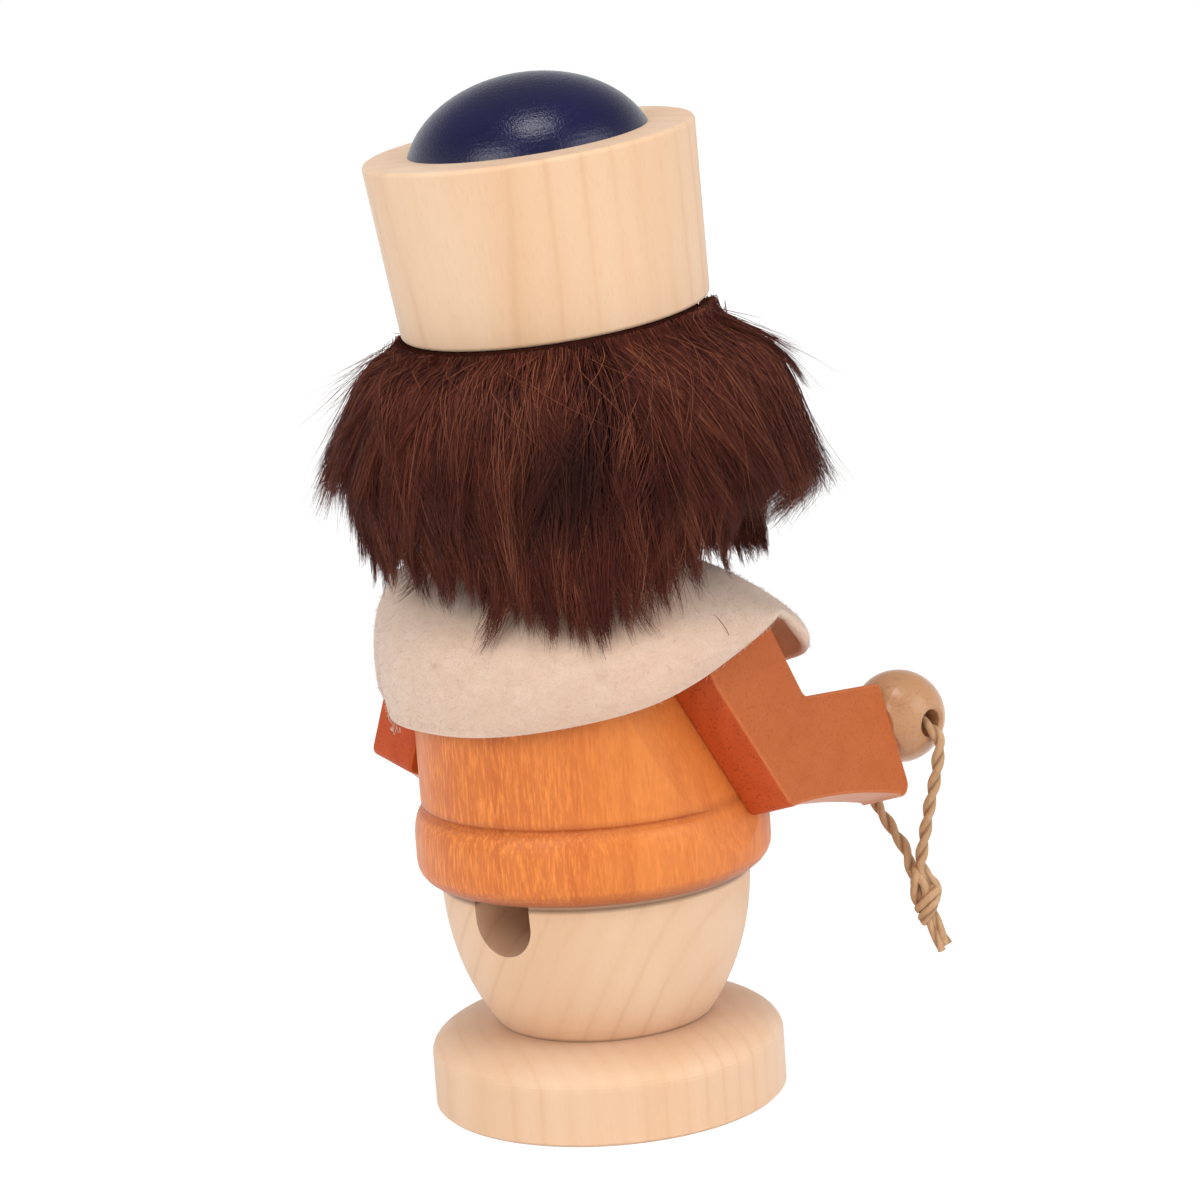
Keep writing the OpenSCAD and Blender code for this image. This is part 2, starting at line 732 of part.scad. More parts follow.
module beard() {
    sides = len(beard_ring(0));
    color([0.26, 0.13, 0.08])
    polyhedron([for (i = [0:beard_steps]) each beard_ring(-beard_half + 2 * beard_half * i / beard_steps)],
        concat(ring_faces(beard_steps + 1, sides, false), end_caps(beard_steps + 1, sides)));
}

// Cord through the right hand's bead

// From the plane of the bore to the figure: x outwards along the bore, z up
function bore_plane(p, side = 0) = right_bead
    + p[0] * [-cos(bore_turn), sin(bore_turn), 0] + side * [sin(bore_turn), cos(bore_turn), 0]
    + [0, 0, p[1] - p[0] * tan(bore_dip) * max(0, 1 - abs(p[1]) / 12)];

// Points of a ring of the cord round its route, square to its direction d
function cord_ring(c, d) =
    let (across = [sin(bore_turn), cos(bore_turn), 0], up = cross(d, across))
    [for (j = [0:cord_sides - 1]) let (a = 360 * j / cord_sides)
        c + cord_d / 2 * (cos(a) * across + sin(a) * up)];

// Direction of the knot and the tail, downwards; both strands end square to it on the knot's top face
knot_axis = [-sin(knot_tilt) * cos(bore_turn), sin(knot_tilt) * sin(bore_turn), -cos(knot_tilt)];

module cord_loop() {
    last = len(cord_route) - 1;
    route = [for (p = cord_route) bore_plane(p)];
    color([0.76, 0.62, 0.42])
    polyhedron([for (i = [0:last])
            each cord_ring(route[i],
                i == 0 ? -knot_axis : i == last ? knot_axis : unit(route[i + 1] - route[i - 1]))],
        concat(ring_faces(last + 1, cord_sides, false), end_caps(last + 1, cord_sides)));
}

// Along the knot and the tail, downwards from the point where the strands meet
module knot_place() {
    translate(bore_plane(knot_top))
        rotate([0, 0, -bore_turn])
        rotate([0, 180 + knot_tilt, 0])
        children();
}

// Knot of three wraps
module cord_knot() {
    wraps = 3;
    wrap_h = knot_h / wraps;
    color([0.76, 0.62, 0.42])
    knot_place()
        rotate_extrude()
        polygon(concat([[0, 0]],
            [for (i = [0:wraps * round_steps]) let (t = i / (wraps * round_steps))
                [knot_r * (0.8 + 0.14 * sin(180 * t) + 0.1 * abs(sin(180 * wraps * t))), knot_h * t]],
            [[0, knot_h]]));
}

module cord_tail() {
    color([0.76, 0.62, 0.42])
    knot_place() translate([0, 0, knot_h])
        for (side = [-1, 1])
            translate([side * strand_apart, 0, cord_d / 2 * sin(tail_lean + tail_spread)])
                rotate([0, tail_lean + side * tail_spread, 0])
                cylinder(d = cord_d, h = tail_len);
}

base_disc();
lower_body();
base_dowel();
cone_pan();
pan_nail();
coat();
neck_tube();
felt_collar();
right_arm();
left_arm();
arm_dowels();
right_hand();
left_hand();
hand_pegs();
head();
nose();
hair();
beard();
hat();
hat_dowel();
hat_dome();
dome_dowel();
cord_loop();
cord_knot();
cord_tail();
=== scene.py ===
"""Looks for a turned wooden incense smoker: woods, stains, felt, fur and paper cord round the fixed frame."""
import math

import bpy
import numpy as np
from mathutils import Matrix, Vector


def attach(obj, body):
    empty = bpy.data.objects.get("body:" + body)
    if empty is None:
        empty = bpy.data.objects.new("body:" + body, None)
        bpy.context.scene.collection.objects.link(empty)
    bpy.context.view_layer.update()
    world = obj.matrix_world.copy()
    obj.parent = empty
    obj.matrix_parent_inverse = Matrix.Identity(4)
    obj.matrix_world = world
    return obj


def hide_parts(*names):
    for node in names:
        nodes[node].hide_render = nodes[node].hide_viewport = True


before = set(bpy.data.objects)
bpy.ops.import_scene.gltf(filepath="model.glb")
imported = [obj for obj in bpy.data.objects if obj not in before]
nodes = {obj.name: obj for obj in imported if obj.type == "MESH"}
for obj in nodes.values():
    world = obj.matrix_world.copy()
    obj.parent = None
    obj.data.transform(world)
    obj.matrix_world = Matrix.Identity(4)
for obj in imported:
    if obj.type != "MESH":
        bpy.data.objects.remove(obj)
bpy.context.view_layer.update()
MM = 0.001
SEED = 11
rng = np.random.default_rng(SEED)

# The camera's place and turn were fitted to the photo's outlines
SENSOR, LENS = 36, 95.034
CAMERA_AT = (-0.300380, 0.378520, 0.161304)
camera = bpy.data.objects.new("camera", bpy.data.cameras.new("camera"))
camera.data.sensor_width, camera.data.lens = SENSOR, LENS
camera.data.clip_start, camera.data.clip_end = 0.02, 60
RIGHT = Vector((-0.79341593, -0.60459956, -0.07036003))
UP = Vector((0.04736564, -0.17657132, 0.98314753))
AHEAD = Vector((0.60683413, -0.77671226, -0.16873174))
turn = Matrix((RIGHT, UP, -AHEAD)).transposed().to_4x4()
camera.matrix_world = Matrix.Translation(CAMERA_AT) @ turn
bpy.context.collection.objects.link(camera)
bpy.context.scene.camera = camera

# Sizes in millimetres and degrees that the part's source has too
HEAD_Z, HEAD_R = 105.0, 20.5
HAT_Z, HAT_TILT = 123.2, 7.8
COAT_TOP, FELT_T, GAP = 83.0, 1.3, 0.35
NECK_HOLE_R, HEM_R, HEM_DROP = 8.6, 29.8, 19.6
HAIR_HALF, BEARD_HALF = 117, 58


def add_mesh(name, verts, faces, body):
    """A smooth mesh: verts (n, 3) in millimetres, faces an array of equal ones or a list of mixed ones."""
    me = bpy.data.meshes.new(name)
    verts = np.asarray(verts, np.float32) * MM
    if isinstance(faces, np.ndarray):
        count, sides = faces.shape
        me.vertices.add(len(verts))
        me.vertices.foreach_set("co", verts.ravel())
        me.loops.add(count * sides)
        me.loops.foreach_set("vertex_index", faces.astype(np.int32).ravel())
        me.polygons.add(count)
        me.polygons.foreach_set("loop_start", np.arange(0, count * sides, sides, dtype=np.int32))
        me.polygons.foreach_set("loop_total", np.full(count, sides, dtype=np.int32))
        me.update(calc_edges=True)
        me.validate()
    else:
        me.from_pydata(verts.tolist(), [], faces)
    me.polygons.foreach_set("use_smooth", [True] * len(me.polygons))
    ob = bpy.data.objects.new(name, me)
    bpy.context.collection.objects.link(ob)
    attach(ob, body)
    return ob


def grid_faces(rings, sides, closed=False):
    """Quads between rings of equal length, from the last ring back to the first where it is closed."""
    faces = []
    for i in range(rings if closed else rings - 1):
        for j in range(sides):
            n, k = (i + 1) % rings, (j + 1) % sides
            faces.append([i * sides + j, i * sides + k, n * sides + k, n * sides + j])
    return faces


def around(a, r, z):
    """Angle 0 is the back, 90 the figure's own right; arrays in degrees and millimetres."""
    t = np.radians(a)
    return np.stack([-r * np.sin(t), r * np.cos(t), z + 0 * r * t], axis=-1)


def hump(a, c, before, after):
    """A bell of height 1 at c, with a width of its own on either side."""
    d = np.asarray(a, float) - c
    return np.exp(-((d / np.where(d < 0, before, after)) ** 2))


def smooth_line(points, count):
    """A smooth curve through given points, by arc length."""
    p = np.asarray(points, float)
    ext = np.vstack([2 * p[0] - p[1], p, 2 * p[-1] - p[-2]])
    out = []
    for i in range(1, len(ext) - 2):
        t = np.linspace(0, 1, 24, endpoint=False)[:, None]
        a, b, c, d = ext[i - 1], ext[i], ext[i + 1], ext[i + 2]
        square, cube = 2 * a - 5 * b + 4 * c - d, 3 * b - a - 3 * c + d
        out.append(0.5 * (2 * b + (c - a) * t + square * t**2 + cube * t**3))
    out = np.vstack(out + [ext[-2][None]])
    s = np.concatenate([[0], np.cumsum(np.linalg.norm(np.diff(out, axis=0), axis=1))])
    u = np.linspace(0, s[-1], count)
    return np.stack([np.interp(u, s, out[:, k]) for k in range(3)], axis=1), s[-1]


def frames_along(line):
    """Tangent and two turning-free normals along a line."""
    tan = np.gradient(line, axis=0)
    tan /= np.linalg.norm(tan, axis=1)[:, None]
    n = np.cross(tan[0], [0.2, 0.9, 0.4])
    n /= np.linalg.norm(n)
    ns = []
    for t in tan:
        n = n - np.dot(n, t) * t
        n /= np.linalg.norm(n)
        ns.append(n.copy())
    ns = np.array(ns)
    return tan, ns, np.cross(tan, ns)


def linear(r, g, b):
    """A colour written as 0 to 255, for a shader."""
    return tuple((c / 255 / 12.92 if c <= 10 else ((c / 255 + 0.055) / 1.055) ** 2.4) for c in (r, g, b)) + (1,)


class Shader:
    """Adds nodes to one material: each method makes one node and returns the output that carries its result."""

    def __init__(self, name, rough=0.5, **values):
        mat = bpy.data.materials.new(name)
        mat.use_nodes = True
        self.take(mat)
        self.bsdf.inputs["Roughness"].default_value = rough
        for key, value in values.items():
            self.bsdf.inputs[key.replace("_", " ")].default_value = value

    def take(self, mat):
        """Works on a material that is there already."""
        self.mat, self.tree = mat, mat.node_tree
        self.bsdf = self.tree.nodes["Principled BSDF"]
        self.coords = self.add("ShaderNodeTexCoord").outputs["Object"]

    def add(self, kind, **props):
        n = self.tree.nodes.new(kind)
        for key, value in props.items():
            setattr(n, key, value)
        return n

    def put(self, socket, value):
        if isinstance(value, bpy.types.NodeSocket):
            self.tree.links.new(value, socket)
        else:
            socket.default_value = value

    def mapped(self, scale=(1, 1, 1), turn=(0, 0, 0), shift=(0, 0, 0), source=None):
        n = self.add("ShaderNodeMapping")
        self.put(n.inputs["Vector"], source or self.coords)
        n.inputs["Scale"].default_value = scale
        n.inputs["Rotation"].default_value = [math.radians(v) for v in turn]
        n.inputs["Location"].default_value = shift
        return n.outputs["Vector"]

    def noise(self, vector, scale, detail=2, rough=0.5, twist=0.0):
        n = self.add("ShaderNodeTexNoise")
        self.put(n.inputs["Vector"], vector)
        n.inputs["Scale"].default_value = scale
        n.inputs["Detail"].default_value = detail
        n.inputs["Roughness"].default_value = rough
        n.inputs["Distortion"].default_value = twist
        return n.outputs["Fac"]

    def rings(self, vector, scale, twist=2.0, detail=2, fine=1.0):
        n = self.add("ShaderNodeTexWave", wave_type="RINGS", rings_direction="Z", wave_profile="SIN")
        self.put(n.inputs["Vector"], vector)
        n.inputs["Scale"].default_value = scale
        n.inputs["Distortion"].default_value = twist
        n.inputs["Detail"].default_value = detail
        n.inputs["Detail Scale"].default_value = fine
        return n.outputs["Fac"]

    def span(self, value, lo, hi, to_lo=0.0, to_hi=1.0):
        n = self.add("ShaderNodeMapRange")
        self.put(n.inputs["Value"], value)
        for key, v in (("From Min", lo), ("From Max", hi), ("To Min", to_lo), ("To Max", to_hi)):
            n.inputs[key].default_value = v
        return n.outputs["Result"]

    def maths(self, kind, a, b=0.0):
        n = self.add("ShaderNodeMath", operation=kind)
        self.put(n.inputs[0], a)
        self.put(n.inputs[1], b)
        return n.outputs[0]

    def mix(self, fac, a, b):
        n = self.add("ShaderNodeMix", data_type="RGBA")
        self.put(n.inputs[0], fac)
        self.put(n.inputs[6], a)
        self.put(n.inputs[7], b)
        return n.outputs[2]

    def height(self):
        n = self.add("ShaderNodeSeparateXYZ")
        self.put(n.inputs[0], self.coords)
        return n.outputs[2]

    def distance(self, *place):
        """The distance in metres from a place in millimetres."""
        n = self.add("ShaderNodeVectorMath", operation="DISTANCE")
        self.put(n.inputs[0], self.coords)
        n.inputs[1].default_value = [v * MM for v in place]
        return n.outputs["Value"]

    def bump(self, height, depth, strength=1.0, below=None):
        n = self.add("ShaderNodeBump")
        n.inputs["Strength"].default_value = strength
        n.inputs["Distance"].default_value = depth
        self.put(n.inputs["Height"], height)
        if below:
            self.put(n.inputs["Normal"], below)
        return n.outputs["Normal"]

    def finish(self, color, rough=None, normal=None):
        self.put(self.bsdf.inputs["Base Color"], color)
        if rough is not None:
            self.put(self.bsdf.inputs["Roughness"], rough)
        if normal is not None:
            self.put(self.bsdf.inputs["Normal"], normal)
        return self.mat


def scaled(color, by):
    """A lighter or darker colour, at most white."""
    return tuple(min(1.0, by * c) for c in color[:3]) + (1,)


def wood(name, pale, warm, dark, turn=(0, 0, 0), pith=(0.03, 0.06, 0), ring=42, rough=0.5, flecks=0.35, streaks=0.5,
         figure=0.5, twist=1.2, light=0.0, shade=(), bump=0.00005, **values):
    """Turned or sawn wood: growth rings about a pith outside the piece, long streaks, fine fibres and short flecks.

    shade paints shade into narrow bands, such as grooves and the places under overhanging parts, each with its
    height, half width and amount."""
    s = Shader(name, rough, **{"Specular_IOR_Level": 0.35, **values})
    v = s.mapped(turn=turn)
    grain = s.mapped(scale=(1, 1, 0.10), source=v)
    rings = s.rings(s.mapped(scale=(1, 1, 0.16), shift=pith, source=v), ring, twist=twist, detail=3, fine=1.4)
    streak = s.noise(grain, 190, 3, 0.6)
    broad = s.noise(s.mapped(scale=(1, 1, 0.25), source=v), 45, 2, 0.5, 0.3)
    fibre = s.noise(s.mapped(scale=(1, 1, 0.05), source=v), 2600, 2, 0.6)
    fleck = s.noise(s.mapped(scale=(1, 1, 0.2), source=v), 2300, 1, 0.5)
    color = s.mix(s.span(broad, 0.35, 0.68), pale, s.mix(0.5, pale, warm))
    wander = s.noise(s.mapped(scale=(1, 1, 0.3), shift=(0.3, 0.1, 0), source=v), 60, 1)
    late = s.maths("MULTIPLY", s.maths("POWER", rings, 14.0), s.span(wander, 0.35, 0.62, 0.1, 1.0))
    color = s.mix(s.maths("MULTIPLY", rings, figure * 0.4), color, warm)
    color = s.mix(s.maths("MULTIPLY", late, figure * 0.8), color, s.mix(0.25, warm, dark))
    color = s.mix(s.maths("MULTIPLY", s.span(streak, 0.5, 0.78), streaks), color, warm)
    color = s.mix(s.maths("MULTIPLY", s.span(fleck, 0.56, 0.72), flecks), color, dark)
    color = s.mix(s.maths("MULTIPLY", s.span(fibre, 0.35, 0.7), flecks * 0.35), color, warm)
    if light:
        spark = s.noise(s.mapped(scale=(1, 1, 0.13), shift=(0.1, 0.3, 0.2), source=v), 2100, 3, 0.65)
        spark = s.maths("MULTIPLY", s.span(spark, 0.46, 0.70), s.span(broad, 0.35, 0.65, 0.3, 1.0))
        color = s.mix(s.maths("MULTIPLY", spark, light), color, scaled(pale, 1.35))
    # Painted shade: each band is mixed towards a darker colour.
    for at, half, amount in shade:
        near = s.span(s.maths("ABSOLUTE", s.maths("SUBTRACT", s.height(), at)), 0.0, half, 1.0, 0.0)
        color = s.mix(s.maths("MULTIPLY", near, amount), color, scaled(dark, 0.55))
    normal = s.bump(fibre, bump, 0.6, s.bump(fleck, bump, 0.5))
    return s.finish(color, s.span(streak, 0.3, 0.7, rough - 0.06, rough + 0.08), normal)


PALE, WARM = linear(241, 205, 172), linear(227, 180, 136)
BLOOM = {"Sheen_Weight": 0.18, "Sheen_Tint": (0.8, 0.9, 1, 1)}
# The disc's top is painted darker: painted shade under the bowl and the coat.
natural = wood("natural_maple", PALE, WARM, linear(205, 150, 98), pith=(0.05, 0.05, 0), ring=95, flecks=0.06,
               streaks=0.22, figure=0.34, shade=[(0.0135, 0.0035, 0.28)], **BLOOM)
# Painted shade on the bowl: a thin dark line at its foot where it meets the disc, and one just below the coat's hem.
bowl_wood = wood("bowl_maple", PALE, WARM, linear(150, 98, 66), turn=(14, 34, 20), pith=(0.06, 0.03, 0.01), ring=80,
                 flecks=0.03, streaks=0.22, figure=0.36, shade=[(0.0129, 0.0007, 0.75), (0.0359, 0.0007, 0.8)],
                 **BLOOM)
hat_wood = wood("hat_maple", linear(244, 208, 173), linear(229, 180, 133), linear(176, 116, 70),
                turn=(HAT_TILT, 0, 30), pith=(0.035, -0.05, 0), ring=70, flecks=0.06, streaks=0.3, figure=0.4,
                Sheen_Weight=0.16, Sheen_Tint=(0.6, 0.8, 1, 1))
dowel_wood = wood("dowel_beech", linear(214, 176, 130), linear(186, 140, 94), linear(150, 104, 64), ring=90,
                  flecks=0.5)
# Painted shade on the coat: in its groove, where the stain also gathers, and along its lower edge above the bowl.
coat_wood = wood("coat_stain", linear(232, 135, 58), linear(204, 98, 34), linear(172, 68, 24), pith=(0.05, -0.03, 0),
                 ring=30, rough=0.45, flecks=0.16, streaks=0.8, figure=0.5, twist=0.6, light=0.85, Sheen_Weight=0.12,
                 shade=[(0.0486, 0.0013, 0.35), (0.0366, 0.0026, 0.8)], Coat_Weight=0.06, Coat_Roughness=0.4)
arm_face = wood("arm_stain", linear(196, 104, 48), linear(184, 90, 40), linear(160, 72, 30), turn=(0, 78, 0), ring=55,
                rough=0.62, flecks=0.5, streaks=0.5, figure=0.2)
arm_edge = wood("arm_edge_stain", linear(204, 88, 36), linear(184, 70, 24), linear(150, 52, 16), turn=(80, 20, 0),
                ring=80, rough=0.55, flecks=0.6, streaks=0.5)
# The eased edges are lighter than the faces: a painted highlight.
eased_edge_highlight = wood("eased_edge_painted_highlight", linear(206, 113, 58), linear(194, 100, 48), linear(166, 76, 34), turn=(0, 78, 0),
                ring=55, rough=0.6, flecks=0.2)
# The hollowed underside is paler and pinker than the faces: a painted reflection of the pale floor.
underside_reflection = wood("underside_painted_reflection", linear(220, 158, 126), linear(206, 138, 104), linear(176, 100, 70), ring=60,
                 rough=0.6, flecks=0.2, Sheen_Weight=0.2)
bead_wood = wood("bead_wood", linear(207, 156, 112), linear(186, 134, 92), linear(140, 92, 56), turn=(0, 90, 8),
                 ring=70, rough=0.3, flecks=0.3, streaks=0.4, figure=0.3, Coat_Weight=0.35, Coat_Roughness=0.2)
nose_wood = wood("nose_stain", linear(214, 140, 108), linear(196, 116, 86), linear(150, 80, 60), ring=70, rough=0.35,
                 flecks=0.3)


def head_material():
    """Flesh-toned stain with two painted eyes, a painted highlight in each, and soft cheeks."""
    base = wood("head_stain", linear(232, 186, 146), linear(218, 164, 120), linear(186, 128, 88), ring=50, rough=0.4,
                flecks=0.25, figure=0.3)
    s = Shader.__new__(Shader)
    s.take(base)
    color = s.bsdf.inputs["Base Color"].links[0].from_socket
    for side in (-1, 1):
        cheek, eye = s.distance(12.6 * side, -15.2, 99.5), s.distance(6.4 * side, -17.9, 112.6)
        # A white dot in each eye is a painted highlight.
        painted_glint = s.distance(6.4 * side - 0.5, -18.5, 113.2)
        color = s.mix(s.span(cheek, 0.0, 0.0055, 0.4, 0.0), color, linear(214, 96, 76))
        color = s.mix(s.span(eye, 0.00150, 0.00158, 1, 0), color, linear(24, 20, 20))
        color = s.mix(s.span(painted_glint, 0.00045, 0.0005, 1, 0), color, linear(240, 240, 238))
    return s.finish(color)


def dome_material():
    """Opaque dark blue stain with fine dimples and a satin gloss."""
    s = Shader("blue_stain", 0.26, Specular_IOR_Level=0.5)
    grain = s.noise(s.mapped(scale=(1, 0.25, 1), turn=(0, 0, 30)), 1900, 3, 0.6)
    broad = s.noise(s.coords, 90, 2)
    color = s.mix(s.span(broad, 0.3, 0.7), linear(9, 11, 56), linear(14, 16, 66))
    dimple = s.noise(s.coords, 2600, 2, 0.6)
    normal = s.bump(dimple, 0.00006, 0.9, s.bump(grain, 0.00003, 0.7))
    return s.finish(color, s.span(grain, 0.3, 0.7, 0.2, 0.3), normal)


def felt_material():
    """Cream wool felt, a little cloudy."""
    s = Shader("wool_felt", 0.92, Sheen_Weight=0.35, Sheen_Roughness=0.5, Subsurface_Weight=0.5,
               Subsurface_Radius=(1.0, 0.95, 0.9), Subsurface_Scale=0.003)
    cloud = s.noise(s.coords, 260, 4, 0.65, 0.4)
    fuzz = s.noise(s.coords, 2300, 3, 0.7, 1.2)
    color = s.mix(s.span(cloud, 0.3, 0.7), linear(231, 196, 171), linear(238, 206, 184))
    color = s.mix(s.span(fuzz, 0.5, 0.75, 0, 0.55), color, linear(208, 168, 140))
    return s.finish(color, None, s.bump(fuzz, 0.00022, 0.8, s.bump(cloud, 0.0004, 0.5)))


def fur_material():
    """Brown fur whose strands differ in tone, with painted shade in the hollows between the locks at the back."""
    s = Shader("fur", 0.55, Specular_IOR_Level=0.2)
    n = s.add("ShaderNodeAttribute", attribute_name="tone")
    tone = n.outputs["Fac"]
    color = s.mix(s.span(tone, 0, 0.5), linear(44, 17, 13), linear(100, 44, 32))
    color = s.mix(s.span(tone, 0.5, 1.0), color, linear(168, 100, 70))
    streak = s.noise(s.mapped(scale=(1, 1, 0.2)), 900, 2)
    color = s.mix(s.span(streak, 0.4, 0.8, 0, 0.3), color, linear(66, 27, 19))
    # Painted shade in the hollows between the locks: each hollow's place in millimetres and how dark it gets.
    for *hollow, dark in ((-21, 25, 104, 0.6), (-17.5, 28, 97, 0.45), (-5, 32, 98, 0.25), (-12, 30, 111, 0.25)):
        color = s.mix(s.span(s.distance(*hollow), 0.001, 0.0095, dark, 0.0), color, linear(28, 12, 12))
    return s.finish(color)


def shade_backing_material():
    """A dark colour for the shell under the fur: painted shade deep inside the fur."""
    s = Shader("fur_shade_backing", 0.9, Specular_IOR_Level=0.0)
    streak = s.noise(s.mapped(scale=(1, 1, 0.15)), 900, 3)
    return s.finish(s.mix(streak, linear(32, 15, 12), linear(66, 32, 24)), None, s.bump(streak, 0.0004))


def cord_material():
    """Twisted brown paper, with painted shade in the groove between its two plies."""
    s = Shader("paper_cord", 0.7)
    fibre = s.noise(s.mapped(scale=(1, 1, 0.3)), 2600, 3, 0.6)
    broad = s.noise(s.coords, 500, 2)
    n = s.add("ShaderNodeAttribute", attribute_name="tone")
    color = s.mix(s.span(broad, 0.3, 0.7), linear(196, 154, 112), linear(208, 170, 131))
    color = s.mix(s.span(fibre, 0.5, 0.8, 0, 0.6), color, linear(168, 124, 82))
    # Painted shade in the groove between the plies.
    color = s.mix(s.span(n.outputs["Fac"], 0.0, 0.6, 0.75, 0.0), color, linear(128, 88, 52))
    return s.finish(color, None, s.bump(fibre, 0.00008, 0.8))


def metal_material(name, color, rough):
    """Plain metal with fine scratches."""
    s = Shader(name, rough, Metallic=1.0)
    scratch = s.noise(s.mapped(scale=(1, 8, 1)), 900, 3)
    return s.finish(s.mix(scratch, color, scaled(color, 0.8)),
                    s.span(scratch, 0.3, 0.7, rough - 0.05, rough + 0.12), s.bump(scratch, 0.00003))


def set_material(ob, *mats):
    """Gives an object these materials alone."""
    ob.data.materials.clear()
    for m in mats:
        ob.data.materials.append(m)


FUR, SHADE_BACKING, CORD, FELT = fur_material(), shade_backing_material(), cord_material(), felt_material()

# The hand bead's centre, its bore's turn and dip, and the knot's top below it in the plane of the bore
BEAD = np.array([-29.8, -43.5, 53.5])
BORE_TURN, BORE_DIP = math.radians(8), math.radians(4.5)
KNOT_TOP, KNOT_TILT = (2.0, -24.6), math.radians(16)
STRAND = (1.1 * math.cos(KNOT_TILT), 1.1 * math.sin(KNOT_TILT))
ROUTE = [(KNOT_TOP[0] + STRAND[0], KNOT_TOP[1] + STRAND[1]), (3.3, -22.4), (4.3, -18.6), (5.7, -13.6), (7, -9.4),
         (7.7, -6.4), (8.15, -4.2), (8.2, -2.9), (7.75, -1.75), (6.8, -0.9), (5.2, -0.2), (3.4, 0.35), (1.2, 0.6),
         (-1.2, 0.6), (-3.4, 0.35), (-5.2, -0.2), (-6.8, -0.9), (-7.75, -1.75), (-8.2, -2.9), (-8.15, -4.4),
         (-7.9, -7), (-7.4, -10.6), (-5.8, -15), (-2.8, -18.9), (-0.2, -22),
         (KNOT_TOP[0] - STRAND[0], KNOT_TOP[1] - STRAND[1])]
OUTWARDS = np.array([-math.cos(BORE_TURN), math.sin(BORE_TURN), 0])
ACROSS = np.array([math.sin(BORE_TURN), math.cos(BORE_TURN), 0])


def bore_plane(p, side=0.0):
    """From the plane of the bore to the figure, as in the part's source."""
    drop = p[0] * math.tan(BORE_DIP) * max(0, 1 - abs(p[1]) / 12)
    return BEAD + p[0] * OUTWARDS + side * ACROSS + np.array([0, 0, p[1] - drop])


def twisted(name, line, steps, pitch=8.2, ply=0.66, apart=0.38, start=0.0):
    """Two-ply paper cord along a line: one closed tube whose section is two lobes that turn."""
    sides = 28
    pts, length = smooth_line(line, steps)
    tan, n, b = frames_along(pts)
    s = np.linspace(0, length, steps)
    phase = start + 2 * math.pi * s / pitch
    th = np.linspace(0, 2 * math.pi, sides, endpoint=False)
    c, sn = np.abs(np.cos(th)), np.sin(th)
    radius = apart * c + np.sqrt(np.maximum(ply**2 - (apart * sn) ** 2, 0.02))
    crease = 1 + 0.035 * np.sin(9 * th[None, :] + s[:, None] * 5.3)
    crease = crease + 0.03 * np.sin(s[:, None] * 2.1 + 3 * th[None, :])
    ang = (th[None, :] + phase[:, None])[:, :, None]
    rr = (radius[None, :] * crease)[:, :, None]
    ring = pts[:, None, :] + rr * (np.cos(ang) * n[:, None, :] + np.sin(ang) * b[:, None, :])
    faces = grid_faces(steps, sides)
    faces += [list(range(sides - 1, -1, -1)), [(steps - 1) * sides + j for j in range(sides)]]
    ob = add_mesh(name, ring.reshape(-1, 3), faces, "cord")
    # The tone runs from 0 in the groove between the plies to 1 on their tops; the cord's material paints shade in the
    # groove from it.
    deep = (radius - radius.min()) / (radius.max() - radius.min())
    tone = ob.data.attributes.new("tone", "FLOAT", "POINT")
    tone.data.foreach_set("value", np.tile(deep, steps).astype(np.float32))
    set_material(ob, CORD)
    return ob, pts, length


knot_base = bore_plane(KNOT_TOP)
DOWN = math.sin(KNOT_TILT) * OUTWARDS - math.cos(KNOT_TILT) * np.array([0, 0, 1.0])
SIDE = math.cos(KNOT_TILT) * OUTWARDS + math.sin(KNOT_TILT) * np.array([0, 0, 1.0])
ASIDE, NEAR = 0.745 * SIDE - 0.667 * ACROSS, 0.667 * SIDE + 0.745 * ACROSS


def in_knot(x, y, h):
    """x sideways, y outwards and h down the knot, from its top."""
    return knot_base + x * ASIDE + y * NEAR + h * DOWN


strand_line = [in_knot(1.2, 0.1, 2.6)] + [bore_plane(p) for p in ROUTE] + [in_knot(-0.8, 0.3, 2.8)]
loop, loop_path, loop_length = twisted("cord_loop_strand", strand_line, 280)
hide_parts("cord_loop")

for i, line in enumerate([
    [(-0.6, 0.4, 0.4), (-0.5, 0.8, 1.6), (-1.0, 0.7, 3.2), (-1.2, 0.3, 5.0), (-0.8, -0.6, 6.4), (0.2, -0.8, 7.5)],
    [(0.9, 0.4, 0.4), (0.8, 0.6, 1.2), (1.4, 0.5, 2.6), (2.1, 0.1, 4.0), (1.8, -0.6, 5.6), (0.6, -0.8, 7.2)],
    [(-0.4, -0.6, 0.8), (-0.1, 0.7, 2.0), (0.5, 1.1, 3.4), (0.5, 0.6, 5.0), (0.2, 0.2, 6.8)],
    [(1.2, -0.9, 3.0), (2.0, 0.2, 4.1), (1.0, 1.25, 5.0), (-0.5, 1.2, 6.2), (-1.15, 0.2, 6.9), (-0.5, -0.9, 7.2)],
    [(1.0, -0.9, 5.2), (1.6, 0.2, 6.0), (0.8, 1.1, 7.0), (-0.6, 1.1, 8.1), (-1.2, 0.1, 8.7), (-0.5, -0.8, 8.8)],
]):
    piece, _, _ = twisted(f"cord_knot_{i}", [in_knot(*p) for p in line], 90, pitch=13.0, apart=0.34, start=i * 1.4)
    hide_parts("cord_knot")
